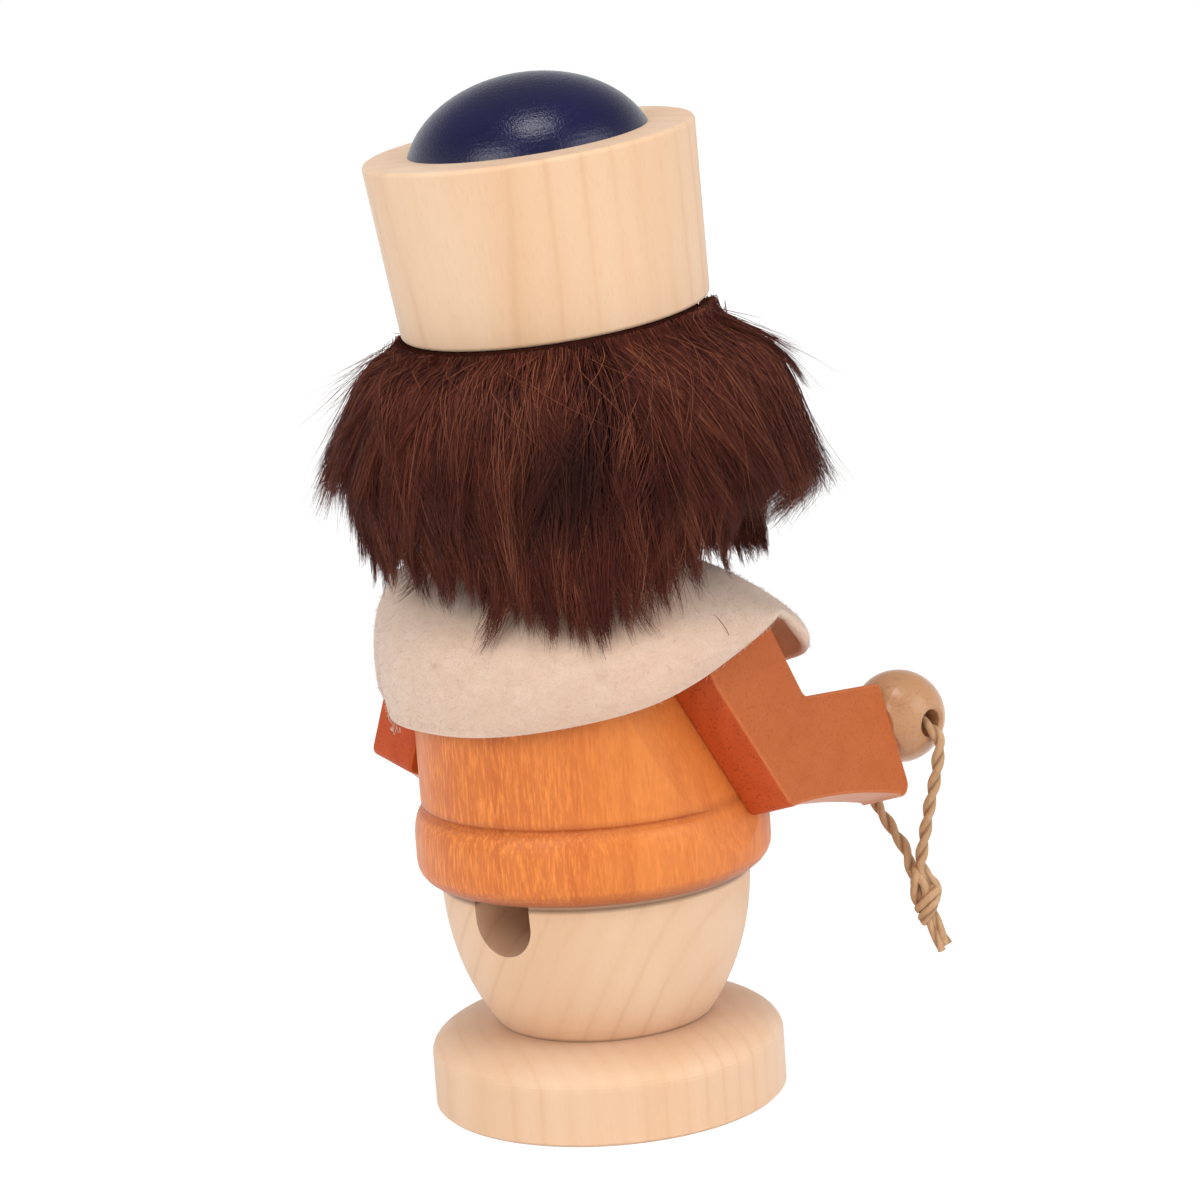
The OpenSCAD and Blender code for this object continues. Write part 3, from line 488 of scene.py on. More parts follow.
for i, line in enumerate([
    [(-0.2, 0.2, 7.6), (-0.2, 0.3, 9.4), (0.1, 0.2, 11.6), (0.4, 0.0, 14.3)],
    [(0.5, 0.2, 7.6), (0.8, 0.3, 9.4), (1.1, 0.2, 11.4), (1.6, 0.1, 13.5)],
]):
    piece, _, _ = twisted(f"cord_tail_{i}", [in_knot(*p) for p in line], 60, pitch=10.0, ply=0.6, apart=0.26,
                          start=i * 1.3)
    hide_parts("cord_tail")

# The arm's board: its thickness, its eased edge, its outline about the peg, and its materials in their order
ARM_T, ARM_EASE = 8.2, 0.5
# The slots: stained faces, stained edges, the eased edges' painted highlight and the underside's painted reflection.
FACE, EDGE, EASED_HIGHLIGHT, UNDER_REFLECTION = range(4)
UNDERSIDE = range(9, 31)
OUTLINE = {"elbow": (3.7, -23.1), "hand_low": (35.3, -28.8), "hand_top": (35.3, -10.1), "crook": (15.1, -8.1),
           "chest": (10.2, 8.6), "back_top": (-10.7, 8.6)}


def corner(a, b, c, r, steps=10):
    """The outline's corner b, rounded with radius r between its neighbours a and c."""
    a, b, c = (np.array(OUTLINE[k], float) for k in (a, b, c))
    u, v = (a - b) / np.linalg.norm(a - b), (c - b) / np.linalg.norm(c - b)
    half = math.acos(float(u @ v)) / 2
    mid = (u + v) / np.linalg.norm(u + v)
    centre = b + mid * r / math.sin(half)
    first, last = b + u * r / math.tan(half) - centre, b + v * r / math.tan(half) - centre
    start = math.atan2(first[1], first[0])
    sweep = (math.atan2(last[1], last[0]) - start + 3 * math.pi) % (2 * math.pi) - math.pi
    return [centre + r * np.array([math.cos(start + sweep * i / steps), math.sin(start + sweep * i / steps)])
            for i in range(steps + 1)]


def arm_outline():
    """The board's outline, with rounded corners and a hollowed underside."""
    hollow, steps = 1.1, 20
    e, h = np.array(OUTLINE["elbow"]), np.array(OUTLINE["hand_low"])
    low = [e + t * (h - e) + np.array([0, hollow * (1 - (2 * t - 1) ** 2)]) for t in np.arange(1, steps) / steps]
    return np.array(corner("back_top", "elbow", "hand_low", 2) + low[1:-1]
                    + corner("elbow", "hand_low", "hand_top", 2.4) + corner("hand_low", "hand_top", "crook", 1)
                    + corner("hand_top", "crook", "chest", 1.5) + corner("crook", "chest", "back_top", 8)
                    + corner("chest", "back_top", "elbow", 8))


def arm_matrix(side, arm_x, splay, peg, turn_back):
    """Where the part's source puts an arm: side is -1 for the figure's right and 1 for its left."""
    m = Matrix.Translation((-arm_x, 0, 60)) @ Matrix.Rotation(math.radians(splay), 4, "Y")
    m = m @ Matrix.Rotation(math.radians(-90), 4, "Z") @ Matrix.Rotation(math.radians(90), 4, "X")
    m = m @ Matrix.Translation((peg[0], peg[1], 0)) @ Matrix.Rotation(math.radians(-turn_back), 4, "Z")
    return (Matrix.Scale(-1, 4, (1, 0, 0)) if side > 0 else Matrix.Identity(4)) @ m


def arm(name, node, matrix, flip):
    """An arm's board with eased edges, in place of its CAD node."""
    line = arm_outline()
    nxt, prv = np.roll(line, -1, 0), np.roll(line, 1, 0)
    d = nxt - prv
    normal = np.stack([d[:, 1], -d[:, 0]], 1) / np.linalg.norm(d, axis=1)[:, None]
    if np.sum(line[:, 0] * nxt[:, 1] - nxt[:, 0] * line[:, 1]) < 0:
        normal = -normal
    rings = [(ARM_EASE * (1 - math.sin(t)), -ARM_EASE * (1 - math.cos(t))) for t in np.linspace(0, math.pi / 2, 6)]
    rings = rings + [(inset, -ARM_T - z) for inset, z in reversed(rings)]
    verts = np.vstack([np.column_stack([line - normal * inset, np.full(len(line), z)]) for inset, z in rings])
    verts = np.array([matrix @ Vector(p) for p in verts])
    n = len(line)
    faces = grid_faces(len(rings), n)
    faces += [list(range(n - 1, -1, -1)), [(len(rings) - 1) * n + j for j in range(n)]]
    if not flip:
        faces = [f[::-1] for f in faces]
    ob = add_mesh(name, verts, faces, "upper")
    set_material(ob, arm_face, arm_edge, eased_edge_highlight, underside_reflection)
    bands = len(rings) - 1
    slots = [EDGE] * (n * bands) + [FACE, FACE]
    # The eased edge bands take the painted highlight.
    slots[:3 * n] = slots[(bands - 3) * n:bands * n] = [EASED_HIGHLIGHT] * (3 * n)
    # The hollowed underside takes the painted reflection.
    for k in range(3, bands - 3):
        for j in UNDERSIDE:
            slots[k * n + j] = UNDER_REFLECTION
    ob.data.polygons.foreach_set("material_index", slots)
    ob.data.polygons.foreach_set("use_smooth", [True] * (len(slots) - 2) + [False, False])
    ob.data.update()
    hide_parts(node)


arm("right_arm_board", "right_arm", arm_matrix(-1, 31, 16, (1.5, 10.5), 0), False)
arm("left_arm_board", "left_arm", arm_matrix(1, 31.7, 20, (-6.6, 17.4), 25), True)


def collar_path(a):
    """The control points of the felt's middle at an angle, as in the part's source but with the hem's last rise.

    r and l lift it over the right and the left arm, e pushes it out at the left arm's edge, f is a fold in
    front of each arm, s draws it in at the back and the front, and b is the lip at the right arm."""
    r, l, e, f = hump(a, 112, 40, 14), hump(a, -80, 45, 40), hump(a, -68, 15, 11), hump(abs(a), 132, 14, 22)
    s = hump(a, 75, 40, 60) + hump(a, -165, 30, 30) + hump(a - 360, -165, 30, 30)
    b, wave = hump(a, 133, 32, 40), 0.4 * math.sin(math.radians(7 * a + 20))
    top, hem = COAT_TOP + GAP + FELT_T / 2, COAT_TOP - HEM_DROP
    spread = 1.8 * hump(a, 145, 20, 22) - 0.9 * hump(a, 124, 12, 10)
    rise = 8 * hump(a, -95, 22, 30) + 2.6 * hump(a, 64, 50, 30) + 4.0 * hump(a, 130, 17, 20)
    return np.array([[NECK_HOLE_R, top],
                     [19 + 5 * l - 2 * r, top + 1.5 + 5.5 * l - 1.2 * r - 0.9 * hump(a, 130, 26, 26) + b],
                     [HEM_R + 4.2 - 1.2 * r + 4.2 * f - s + 0.4 * e,
                      top - 1.8 + 3.4 * l - 0.8 * r - 2 * f - 2.5 * s - 5.5 * b],
                     [HEM_R - 0.5 + r + 5.2 * f + wave + 3.8 * e + spread, hem + 11 * r + rise]])


def bezier(p, t):
    """Points of the cubic curve with the control points p, at t from 0 to 1."""
    t = np.asarray(t)[:, None]
    return (1 - t) ** 3 * p[0] + 3 * t * (1 - t) ** 2 * p[1] + 3 * t * t * (1 - t) * p[2] + t**3 * p[3]


def collar_outer(a, z):
    """The radius of the felt's upper side at a height."""
    q = bezier(collar_path(a), np.linspace(0.5, 1, 12))
    return float(np.interp(z, q[::-1, 1], q[::-1, 0])) + FELT_T / 2


def felt_collar():
    """The draped cape: its middle's curve at each angle, thickened, with rounded hem and neck edges."""
    steps, across = 300, 44
    rings, length = [], []
    for i in range(steps):
        a = -180 + 360 * i / steps
        mid = bezier(collar_path(a), np.linspace(0, 1, across))
        length.append(np.linalg.norm(np.diff(mid, axis=0), axis=1).sum())
        d = np.gradient(mid, axis=0)
        d /= np.linalg.norm(d, axis=1)[:, None]
        n = np.stack([-d[:, 1], d[:, 0]], 1)
        edge, half = np.linspace(0, math.pi, 7)[1:-1], FELT_T / 2
        hem = [mid[-1] + half * 0.8 * (math.sin(t) * d[-1]) + half * math.cos(t) * n[-1] for t in edge]
        neck = [mid[0] - half * 0.5 * (math.sin(t) * d[0]) - half * math.cos(t) * n[0] for t in edge]
        ring = np.vstack([mid + n * half, hem, (mid - n * half)[::-1], neck])
        rings.append(around(a, ring[:, 0], ring[:, 1]))
    ob = add_mesh("felt_cape", np.vstack(rings), grid_faces(steps, len(rings[0]), True), "upper")
    set_material(ob, FELT)
    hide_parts("felt_collar")
    return ob, float(np.mean(length))


collar, collar_width = felt_collar()


def felt_fuzz():
    """Loose fibres on the felt and along its hem, the few curled ones at the hem's left end, and one fallen hair."""
    n, curl_count = 7000, 9
    a = rng.uniform(-180, 180, n)
    t = np.where(rng.random(n) < 0.12, rng.uniform(0.97, 1, n), rng.uniform(0.3, 0.97, n))
    q = np.array([bezier(collar_path(x), [u - 0.01, u]) for x, u in zip(a, t)])
    d = q[:, 1] - q[:, 0]
    d /= np.linalg.norm(d, axis=1)[:, None]
    out = np.stack([-d[:, 1], d[:, 0]], 1)
    length, lean, side = rng.uniform(0.5, 1.5, n), rng.uniform(-1, 1.4, n), rng.normal(0, 1, n)
    k = np.linspace(0, 1, 5)[None, :]
    lift = 0.6 + length[:, None] * (0.32 * k + 0.1 * np.sin(3 * k + side[:, None]))
    along = length[:, None] * lean[:, None] * 0.7 * k * (1 - 0.35 * k)
    r = q[:, 1, 0, None] + out[:, 0, None] * lift + d[:, 0, None] * along
    z = q[:, 1, 1, None] + out[:, 1, None] * lift + d[:, 1, None] * along
    path = around(a[:, None] + np.degrees(length[:, None] * side[:, None] * 0.6 * k ** 1.3 / 30), r, z)
    turn, fall, curls = np.linspace(0, 2 * math.pi, 12), np.linspace(0, 1, 12), []
    for i in range(curl_count):
        at, size, long = -46 + 1.5 * i + rng.normal(0, 0.6), rng.uniform(0.35, 0.75), rng.uniform(1.6, 2.9)
        hem = bezier(collar_path(at), [1.0])[0]
        curls.append(around(at + np.degrees(size * np.sin(turn + i) * fall / 31),
                            hem[0] + 0.4 + 0.3 * np.sin(turn * 0.7 + i),
                            hem[1] - long * np.sin(fall * (1.9 + 0.1 * i))))
    tubes("felt_fuzz", path, np.full((n, 5), 0.02), np.zeros(n), "felt", FELT, n)
    tubes("felt_curl", np.array(curls), np.full((curl_count, 12), 0.045), np.zeros(curl_count), "felt", FELT)
    k = np.linspace(0, 1, 14)
    a, z = 83 + 2.2 * k, 81 - 5.6 * k
    line = around(a + 0.8 * np.sin(3 * k), lie_on_felt(a, z) + 0.3, z)
    tubes("felt_hair", line[None], np.full((1, 14), 0.05), np.full(1, 0.5), "fur", FUR)


def tubes(name, paths, radius, tone, slot, mat, limit=5200):
    """Closed three-sided strands, up to limit in a piece: paths (n, k, 3), radius (n, k), tone (n,)."""
    pieces = []
    for start in range(0, len(paths), limit):
        p, r, tn = paths[start:start + limit], radius[start:start + limit], tone[start:start + limit]
        n, k, _ = p.shape
        tan = np.gradient(p, axis=1)
        tan /= np.linalg.norm(tan, axis=2, keepdims=True) + 1e-9
        ref = np.stack([p[:, 0, 1], -p[:, 0, 0], 0 * p[:, 0, 0]], 1)
        ref /= np.linalg.norm(ref, axis=1, keepdims=True) + 1e-9
        u = np.cross(tan, ref[:, None, :])
        u /= np.linalg.norm(u, axis=2, keepdims=True) + 1e-9
        w = np.cross(tan, u)
        ang = np.array([0, 2 * math.pi / 3, 4 * math.pi / 3])[None, None, :, None]
        spoke = np.cos(ang) * u[:, :, None, :] + np.sin(ang) * w[:, :, None, :]
        ring = p[:, :, None, :] + r[:, :, None, None] * spoke
        base = (np.arange(n) * k * 3)[:, None, None]
        i = (np.arange(k - 1) * 3)[None, :, None]
        j = np.arange(3)[None, None, :]
        m = (j + 1) % 3
        a, b, c, d = base + i + j, base + i + m, base + i + 3 + m, base + i + 3 + j
        faces = np.concatenate([np.stack([a, b, c], -1).reshape(-1, 3), np.stack([a, c, d], -1).reshape(-1, 3)])
        ends = np.arange(n)[:, None] * k * 3
        faces = np.concatenate([faces, ends + np.array([[0, 2, 1]]), ends + (k - 1) * 3 + np.array([[0, 1, 2]])])
        ob = add_mesh(f"{name}_{start // limit}", ring.reshape(-1, 3), faces, "upper")
        at = ob.data.attributes.new("tone", "FLOAT", "POINT")
        at.data.foreach_set("value", np.repeat(tn, k * 3).astype(np.float32))
        set_material(ob, mat)
        pieces.append(ob)
    return pieces


def hair_bottom(a):
    """The height at which the hair ends."""
    return HEAD_Z - 18 - 8.5 * hump(a, 44, 34, 22) + 4.2 * hump(a, 114, 26, 34) + 2.6 * hump(a, -95, 38, 40)


# Points along a strand, the combed fur's radius by height, and the angles and heights of the felt's table
T = np.linspace(0, 1, 10)[None, :]
FUR_Z = [80, 87, 90, 94, 99, 104, 109, 114, 117, 119.5, 122.5]
FUR_R = [30.2, 30.6, 31.0, 31.8, 32.8, 33.2, 32.8, 31.4, 29.6, 27.6, 24.6]
LIE_A, LIE_Z = np.arange(-180, 181, 3.0), np.arange(72, 92, 0.5)
LIE_R = np.array([[collar_outer(a, z) for z in LIE_Z] for a in LIE_A])


def lie_on_felt(a, z):
    """The radius of the felt's upper side, from a table of it."""
    i = np.clip((np.asarray(a) + 180) / 3, 0, len(LIE_A) - 1.001)
    j = np.clip((np.asarray(z) - 72) * 2, 0, len(LIE_Z) - 1.001)
    k, m, u, v = i.astype(int), j.astype(int), i % 1, j % 1
    here, there = ((1 - v) * LIE_R[row, m] + v * LIE_R[row, m + 1] for row in (k, k + 1))
    return (1 - u) * here + u * there


def smooth_step(x):
    """A smooth rise from 0 to 1."""
    x = np.clip(x, 0, 1)
    return x * x * (3 - 2 * x)


def fur_surface(a, z):
    """The radius of the combed fur's surface at an angle and height."""
    r = np.interp(z, FUR_Z, FUR_R) + 2.6 * hump(a, 118, 40, 30) * hump(z, 116, 12, 7)
    r = r - 8.5 * smooth_step((a - 84) / 30) * smooth_step((132 - a) / 12) * smooth_step((95 - z) / 6)
    return np.where(z < 88, np.maximum(r, lie_on_felt(a, z) + 0.9), r)


def brim(a, r):
    """The height of the tilted hat's underside."""
    return HAT_Z - r * np.cos(np.radians(a)) * math.tan(math.radians(HAT_TILT))


def combed(root_a, root_r, root_z, tip_a, tip_z, depth, flare, tone, locks, pull, radius, lift=0.7, stray=2.0,
           free=0.34):
    """Strands combed over the fur's surface, and drawn together into locks towards their tips."""
    n = len(root_a)
    lock_a, lock_z = tip_a[locks], tip_z[locks]
    off_a, off_z = tip_a[:, None] - lock_a[None, :], tip_z[:, None] - lock_z[None, :]
    cell = np.argmin((off_a * 0.5) ** 2 + (off_z * 0.55) ** 2, axis=1)
    pull = np.broadcast_to(pull, n)[:, None] * rng.uniform(0.55, 1.1, (n, 1))
    swing = rng.normal(0, stray, len(locks))
    to_a, to_z = (lock_a[cell] + swing[cell] - tip_a)[:, None], (lock_z[cell] - tip_z)[:, None]
    rise = rng.normal(0, lift, len(locks))[cell][:, None]
    # Each lock gets its own tone, and a lock that stands out is painted lighter, one that sinks in darker: painted
    # light and shade.
    shade = rng.normal(0, 0.13, len(locks))[cell] + 0.05 * rise[:, 0]
    curl = rng.normal(0, 0.6 * stray, len(locks))[cell][:, None]
    reach = rng.uniform(0.82, 1.06, (n, 1))
    t = T * reach
    a = root_a[:, None] + (tip_a - root_a)[:, None] * t ** 1.25 + to_a * pull * t ** 2.2 + curl * np.sin(3.1 * t) * t
    z = root_z[:, None] + (tip_z - root_z)[:, None] * t + to_z * pull * 0.5 * t ** 2.2
    out = smooth_step(t / free)
    r = root_r[:, None] * (1 - out) + out * (fur_surface(a, z) - depth[:, None] * (1 - t))
    r = r + (rise * t ** 2 + flare[:, None] * t ** 2.1)
    wave = rng.uniform(2, 7, (2, n, 1)), rng.uniform(0, 6.3, (2, n, 1))
    r = r + 0.25 * t * np.sin(t * wave[0][0] + wave[1][0])
    a = a + np.degrees(0.3 * t * np.sin(t * wave[0][1] + wave[1][1]) / 30)
    edge = brim(a, r) - 0.35
    z = np.where(r < 29, np.minimum(z, edge + np.maximum(0, r - 25.5) * 0.3), z)
    width = radius * rng.uniform(0.65, 1.2, (n, 1)) * (1 - 0.85 * T ** 2.4)
    tones = np.clip(tone + shade + rng.normal(0, 0.10, n) + np.where(rng.random(n) < 0.035, 0.4, 0), 0, 1)
    return around(a, r, z), width, tones


def sideways(a):
    """0 at the middle of the back of the wig, 1 at the figure's two sides."""
    return np.sin(np.radians(np.clip(np.abs(np.asarray(a, float) - 22) * 0.95, 0, 90))) ** 2


def loose_locks(count, each):
    """Locks that lie across the combed fur, each with its own direction."""
    lock = np.repeat(np.arange(count), each)
    n = len(lock)
    at, turn = rng.uniform(-118, 122, count), rng.normal(0, 13, count)
    top, drop = rng.uniform(HEAD_Z - 2, HEAD_Z + 15, count), rng.uniform(11, 21, count)
    a = at[lock] + rng.normal(0, 2.4, n)
    root_r = np.minimum(fur_surface(a, top[lock]) - 1.6, 24 + 0.55 * np.maximum(0, HAT_Z - top[lock]))
    tip_z = np.maximum((top - drop)[lock] + rng.normal(0, 1.2, n), hair_bottom(a) + 1)
    return combed(a, root_r, top[lock] + rng.normal(0, 0.8, n), a + turn[lock] + rng.normal(0, 1.6, n), tip_z,
                  0.2 + 0 * a, rng.uniform(0, 0.7, count)[lock] + 2.2 * sideways(a),
                  0.46 + rng.normal(0, 0.08, count)[lock], np.arange(0, n, each), 0.6, 0.06, 0.3, 1.0, 0.3)


# The wisps on the felt: a tip's angle and height, its root's, and how many strands
TUFTS = [(-14, 82.0, -5, 91, 60), (-2, 81.4, 3, 90, 40), (11, 76.4, 21, 90, 120), (24, 78.2, 27, 91, 90),
         (31, 76.8, 30, 91, 110), (43, 75.3, 40, 91, 150), (52, 76.8, 50, 91, 80), (59, 78.3, 57, 92, 90),
         (67, 79.8, 63, 92, 60), (76, 81.6, 70, 92, 60), (107, 82.0, 97, 90, 110), (-30, 83.4, -26, 91, 40),
         (-50, 82.6, -46, 91, 40), (-72, 82.0, -66, 92, 60)]


def tufts():
    """The wisps that end on the felt, and the lock that stands off under the hat's right side."""
    rows = [(*place, 3.4, 0.6) for *place, count in TUFTS for _ in range(count)]
    rows += [(122, 109.5, 114, brim(114, 24) - 0.8, 1.8, 3.0)] * 130
    rows += [(119, 114.0, 108, brim(108, 24) - 0.6, 2.2, 4.0)] * 22
    tip_a, tip_z, root_a, root_z, spread, flare = np.array(rows).T
    n = len(tip_a)
    root_a, tip_a = root_a + rng.normal(0, 1, n) * spread, tip_a + rng.normal(0, 0.55, n) * spread
    tip_z, root_z = tip_z + rng.exponential(1.7, n), root_z + rng.normal(0, 0.5, n)
    root_r = np.where(root_z > 112, rng.uniform(22.6, 24.2, n), fur_surface(root_a, root_z) - 2.0)
    return combed(root_a, root_r, root_z, tip_a, tip_z, 0.3 + 0 * tip_a, flare, 0.44 + 0 * tip_a,
                  rng.choice(n, 90, replace=False), 0.5, 0.055, 0.2, 1.6, 0.3)


def wig():
    """The long outer fur from under the hat, the fur below it that hangs over the collar, and the loose strands."""
    half, parting = 123, 46
    n = 15500
    a = rng.uniform(-half, half, n)
    root_r = rng.uniform(22.6, 24.8, n)
    a = np.where((np.abs(a - 47) < 7) & (rng.random(n) < 0.6), rng.uniform(-half, half, n), a)
    part = 24 * np.tanh((a - parting) / 16) * np.exp(-((np.maximum(a, parting) - parting) / 62) ** 2)
    whirl = -13 * smooth_step((34 - a) / 60) - 4 * np.exp(-((a - 40) / 9) ** 2)
    side = sideways(a)
    right = smooth_step((a - 20) / 60)
    root_z = brim(a, root_r) - rng.uniform(0.3, 2.2, n)
    tip_a = a + np.where(a > parting, part, whirl) + rng.normal(0, 3.2, n)
    back_z = rng.uniform(-17, 6, n)
    side_z = np.where(right > 0.5, -11 - 1.5 * right, -5.6) + rng.normal(0, 2.6, n) + 7 * (rng.random(n) ** 3)
    tip_z = HEAD_Z + back_z * (1 - side) + side_z * side
    flare = side * (6.5 + rng.normal(0, 1.5, n)) * smooth_step((HEAD_Z + 4 - tip_z) / 12)
    depth = rng.uniform(0, 3.0 + 7 * smooth_step((np.abs(a) - 98) / 20))
    # Strands lying deeper are painted darker as shade, those towards the sides painted lighter as light, and those at
    # the parting darker as the shade in its gap; the rest of the tone varies round the head.
    tone = 0.48 - 0.07 * depth + 0.05 * np.sin(np.radians(a * 3.1)) + 0.09 * side
    tone = tone - 0.16 * np.exp(-((a - 45) / 8) ** 2)
    locks = rng.choice(n, 210, replace=False)
    outer = combed(a, root_r, root_z, tip_a, tip_z, depth, flare, tone, locks, 0.62 + 0.25 * side, 0.07, 1.0, 4.2,
                   0.2)
    n = 13500
    a = rng.uniform(-half, half, n)
    low = hair_bottom(a) - 1.5
    tip_z = low + rng.exponential(3.0, n) - 1.6 * (rng.random(n) < 0.12)
    root_z = np.maximum(tip_z + rng.uniform(13, 24, n), HEAD_Z - 8)
    root_r = rng.uniform(23, 27, n)
    tip_a = a - 0.07 * (a - 40) + rng.normal(0, 2.6, n)
    depth = rng.uniform(0, 2.6, n)
    # Strands lying deeper are painted darker as shade, and those from the back round to the figure's left painted
    # lighter as light.
    tone = 0.44 - 0.05 * depth + 0.05 * np.sin(np.radians(a * 4.3 + 40)) + 0.16 * smooth_step((14 - a) / 40)
    locks = rng.choice(n, 190, replace=False)
    under = combed(a, root_r, root_z, tip_a, tip_z, depth, 0 * a, tone, locks, 0.78, 0.068, 0.7, 3.2)
    n = 420
    a = rng.uniform(-106, 118, n)
    root_r = rng.uniform(21, 23.5, n)
    root_z = brim(a, root_r) - 0.6
    tip_z = HEAD_Z + rng.uniform(-14, 12, n)
    stray = combed(a, root_r, root_z, a + rng.normal(0, 12, n), tip_z, 0 * a,
                   rng.uniform(0.5, 6, n) * (0.4 + sideways(a)), 0.62 + 0 * a, np.arange(n), 0.0, 0.05)
    groups = {"outer": outer, "under": under, "stray": stray, "cross": loose_locks(70, 34), "tuft": tufts()}
    return [piece for name, strands in groups.items() for piece in tubes(f"hair_{name}", *strands, "fur", FUR)]


def beard():
    """The fur from below the mouth to the collar."""
    n = 4200
    c = rng.uniform(-60, 60, n)
    b = np.where(c > 0, c - 180, c + 180)
    low = HEAD_Z - 22 - 3 * hump(c, 0, 26, 26)
    tip_z = low + rng.exponential(2.2, n)
    top = HEAD_Z - 13 + 8 * (np.abs(c) / 60) ** 1.5
    root_z = np.minimum(top, HEAD_Z - 5) - rng.uniform(0, 2.5, n)
    root_r = np.sqrt(HEAD_R ** 2 - (root_z - HEAD_Z) ** 2) + 0.3
    swing = rng.normal(0, 2.6, n)
    strands = combed(b, root_r, root_z, b + swing, tip_z, rng.uniform(2.5, 5.5, n), 0 * b, 0.45 + 0 * b,
                     rng.choice(n, 90, replace=False), 0.7, 0.075, 0.4)
    return tubes("beard_fur", *strands, "fur", FUR)


def fur_core(name, node_name, half, centre, profile):
    """The dark shell below the fur, painted as the shade deep in it: a closed shell of rings round the head."""
    steps = 90
    rings = []
    for i in range(steps + 1):
        a = -half + 2 * half * i / steps
        rings.append(around(centre + a, *np.array(profile(a)).T))
    sides = len(rings[0])
    faces = grid_faces(steps + 1, sides)
    faces += [list(range(sides - 1, -1, -1)), [steps * sides + j for j in range(sides)]]
    ob = add_mesh(name, np.vstack(rings), faces, "upper")
    set_material(ob, SHADE_BACKING)
    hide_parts(node_name)


def scalp(z):
    """The radius just outside the head, at least as wide as under the hat."""
    return math.sqrt(max(HEAD_R**2 - (z - HEAD_Z) ** 2, 100)) + 0.3


def hair_profile(a):
    """The dark shell of painted shade under the hair at an angle, as radius and height, thinner towards its two ends.
    """
    edge = float(hump(abs(a), HAIR_HALF, 9, 9))
    low = max(float(hair_bottom(a)) + 6, HEAD_Z - 17)
    k, top = 1 - 0.75 * edge, brim(a, 23) - 0.1
    return [(scalp(top), top), (HEAD_R + 3 * k, top), (21 + 7 * k, HEAD_Z + 9), (21 + 8.5 * k, HEAD_Z + 2),
            (21 + 8.5 * k, HEAD_Z - 6), (20 + 8.5 * k, low), (18 + 5 * k, low + 0.5),
            (scalp(HEAD_Z - 13), HEAD_Z - 13), (scalp(HEAD_Z), HEAD_Z), (scalp(HEAD_Z + 10), HEAD_Z + 10)]


def beard_profile(a):
    """The dark shell of painted shade under the beard, at an angle from the front."""
    top = HEAD_Z - 13 + 8 * (abs(a) / 60) ** 1.5
    return [(scalp(top), top), (scalp(top) + 2.5, top - 1), (24.5, HEAD_Z - 15.5), (26.5, HEAD_Z - 17.5),
            (20, HEAD_Z - 17.3), (scalp(HEAD_Z - 14.5) + 0.5, HEAD_Z - 14.5)]


felt_fuzz()
fur_core("hair_shade_backing", "hair", HAIR_HALF, 0, hair_profile)
fur_core("beard_shade_backing", "beard", BEARD_HALF, 180, beard_profile)
for piece in wig():
    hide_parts("hair")
for piece in beard():
    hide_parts("beard")

finishes = {
    "base_disc": natural, "lower_body": bowl_wood, "base_dowel": dowel_wood, "coat": coat_wood,
    "neck_tube": dowel_wood, "arm_dowels": dowel_wood, "right_hand": bead_wood, "left_hand": bead_wood,
    "hand_pegs": dowel_wood, "head": head_material(), "nose": nose_wood, "hat": hat_wood, "hat_dowel": dowel_wood,
    "hat_dome": dome_material(), "dome_dowel": dowel_wood,
    "cone_pan": metal_material("tin_sheet", linear(190, 188, 184), 0.35),
    "pan_nail": metal_material("nail_steel", linear(170, 168, 166), 0.3),
}
for node_name, material in finishes.items():
    for held in nodes[node_name].material_slots:
        held.material = material

floor_mesh = bpy.data.meshes.new("floor")
floor_mesh.from_pydata([(-8, -30, 0), (8, -30, 0), (8, 8, 0), (-8, 8, 0)], [], [(0, 1, 2, 3)])
floor = bpy.data.objects.new("floor", floor_mesh)
bpy.context.collection.objects.link(floor)


def white_stage():
    """Pale matt floor that reads as white to the camera and in gloss, and keeps a soft shadow of the object."""
    m = bpy.data.materials.new("floor")
    m.use_nodes = True
    tree = m.node_tree
    tree.nodes.clear()
    out, plain, soft, glow, path, seen, both, pick = (tree.nodes.new("ShaderNode" + k) for k in (
        "OutputMaterial", "BsdfDiffuse", "BsdfDiffuse", "Emission", "LightPath", "Math", "AddShader", "MixShader"))
    plain.inputs["Color"].default_value = (0.86, 0.86, 0.86, 1)
    soft.inputs["Color"].default_value = (0.25, 0.25, 0.25, 1)
    glow.inputs["Strength"].default_value = 0.86
    seen.operation = "MAXIMUM"
    tree.links.new(path.outputs["Is Camera Ray"], seen.inputs[0])
    tree.links.new(path.outputs["Is Glossy Ray"], seen.inputs[1])
    tree.links.new(soft.outputs[0], both.inputs[0])
    tree.links.new(glow.outputs[0], both.inputs[1])
    tree.links.new(seen.outputs[0], pick.inputs[0])
    tree.links.new(plain.outputs[0], pick.inputs[1])
    tree.links.new(both.outputs[0], pick.inputs[2])
    tree.links.new(pick.outputs[0], out.inputs["Surface"])
    return m


floor.data.materials.append(white_stage())


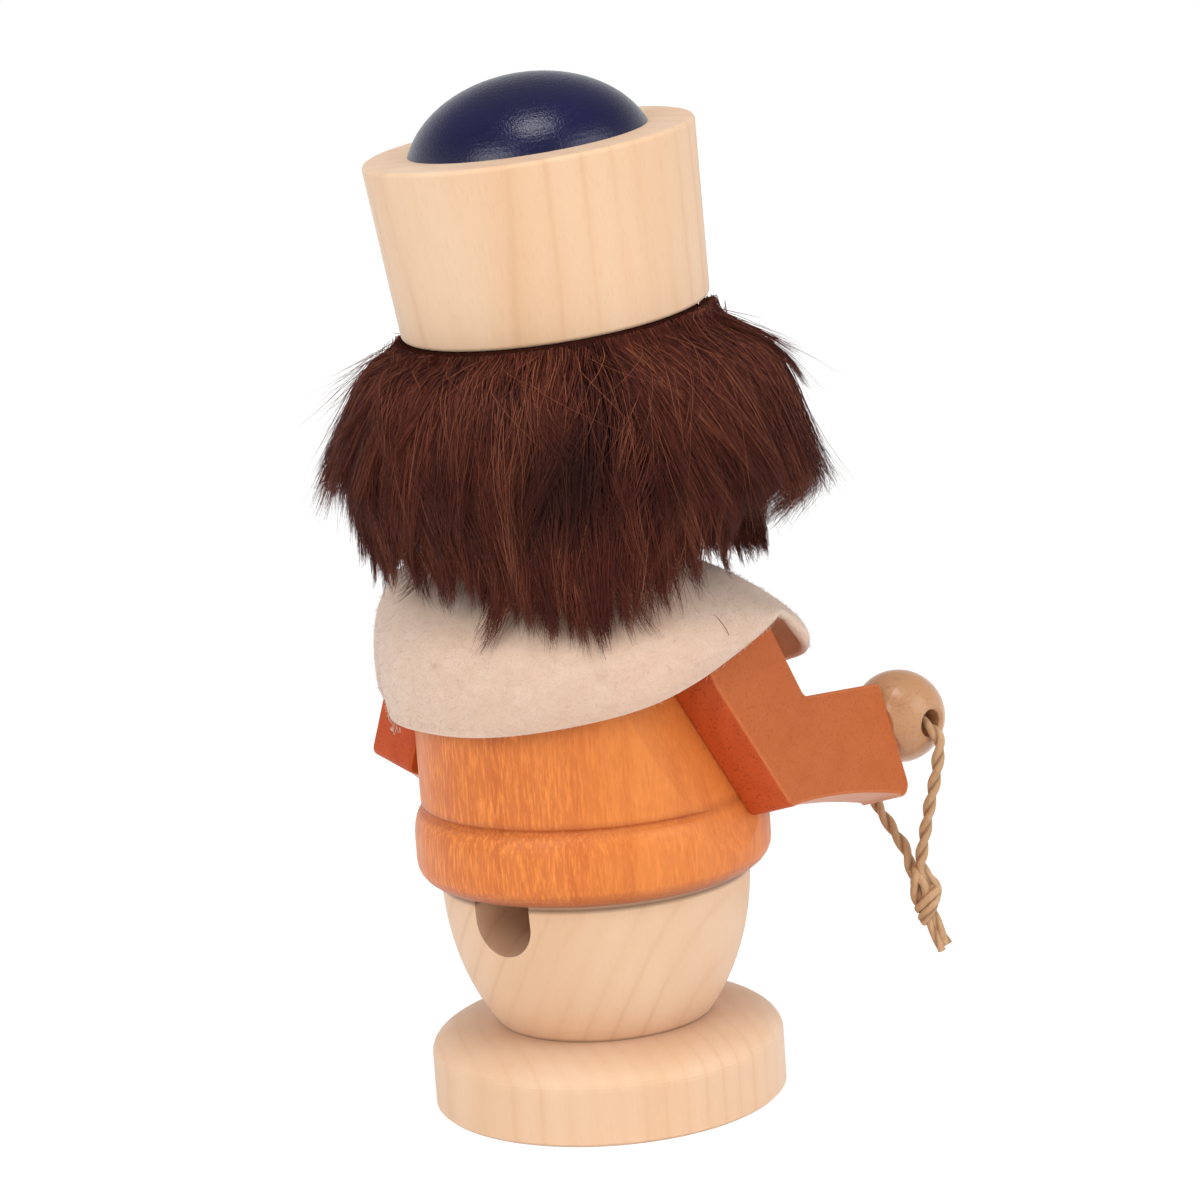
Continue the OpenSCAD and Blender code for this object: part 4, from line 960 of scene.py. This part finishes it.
def studio_world():
    """Even soft light, seen as white by the camera, and dimmer overhead than at the horizon in gloss."""
    even, horizon, overhead = 0.62, 0.9, 0.28
    world = bpy.data.worlds.new("studio")
    world.use_nodes = True
    tree = world.node_tree
    tree.nodes.clear()
    kinds = "OutputWorld Background Background MixShader LightPath TexCoord SeparateXYZ MapRange Mix Math"
    nodes_made = (tree.nodes.new("ShaderNode" + kind) for kind in kinds.split())
    out, light, white, blend, path, sky, split, fade, level, seen = nodes_made
    for back in (light, white):
        back.inputs["Color"].default_value = (1, 1, 1, 1)
    for key, v in (("From Min", 0.15), ("From Max", 0.6), ("To Min", horizon), ("To Max", overhead)):
        fade.inputs[key].default_value = v
    level.inputs[2].default_value = even
    seen.operation = "MAXIMUM"
    for source, target in (
            (sky.outputs["Generated"], split.inputs[0]), (split.outputs[2], fade.inputs["Value"]),
            (path.outputs["Is Glossy Ray"], level.inputs[0]), (fade.outputs["Result"], level.inputs[3]),
            (level.outputs[0], light.inputs["Strength"]), (path.outputs["Is Camera Ray"], seen.inputs[0]),
            (path.outputs["Is Transmission Ray"], seen.inputs[1]), (seen.outputs[0], blend.inputs[0]),
            (light.outputs[0], blend.inputs[1]), (white.outputs[0], blend.inputs[2]),
            (blend.outputs[0], out.inputs["Surface"])):
        tree.links.new(source, target)
    return world


bpy.context.scene.world = studio_world()


def lamp(name, place, size, power):
    """A square lamp that faces the middle of the figure."""
    data = bpy.data.lights.new(name, "AREA")
    data.shape, data.size, data.energy = "SQUARE", size, power
    ob = bpy.data.objects.new(name, data)
    ob.location = place
    ob.rotation_mode = "QUATERNION"
    ob.rotation_quaternion = (Vector((0, 0, 0.08)) - Vector(place)).to_track_quat("-Z", "Y")
    bpy.context.collection.objects.link(ob)


lamp("key", (0.0, 0.86, 0.55), 0.5, 2.7)
lamp("top", (-0.2, 0.24, 1.1), 0.34, 2.3)
lamp("fill", (-0.8, -0.1, 0.5), 0.6, 2.5)

bpy.context.scene.view_settings.view_transform = "Standard"
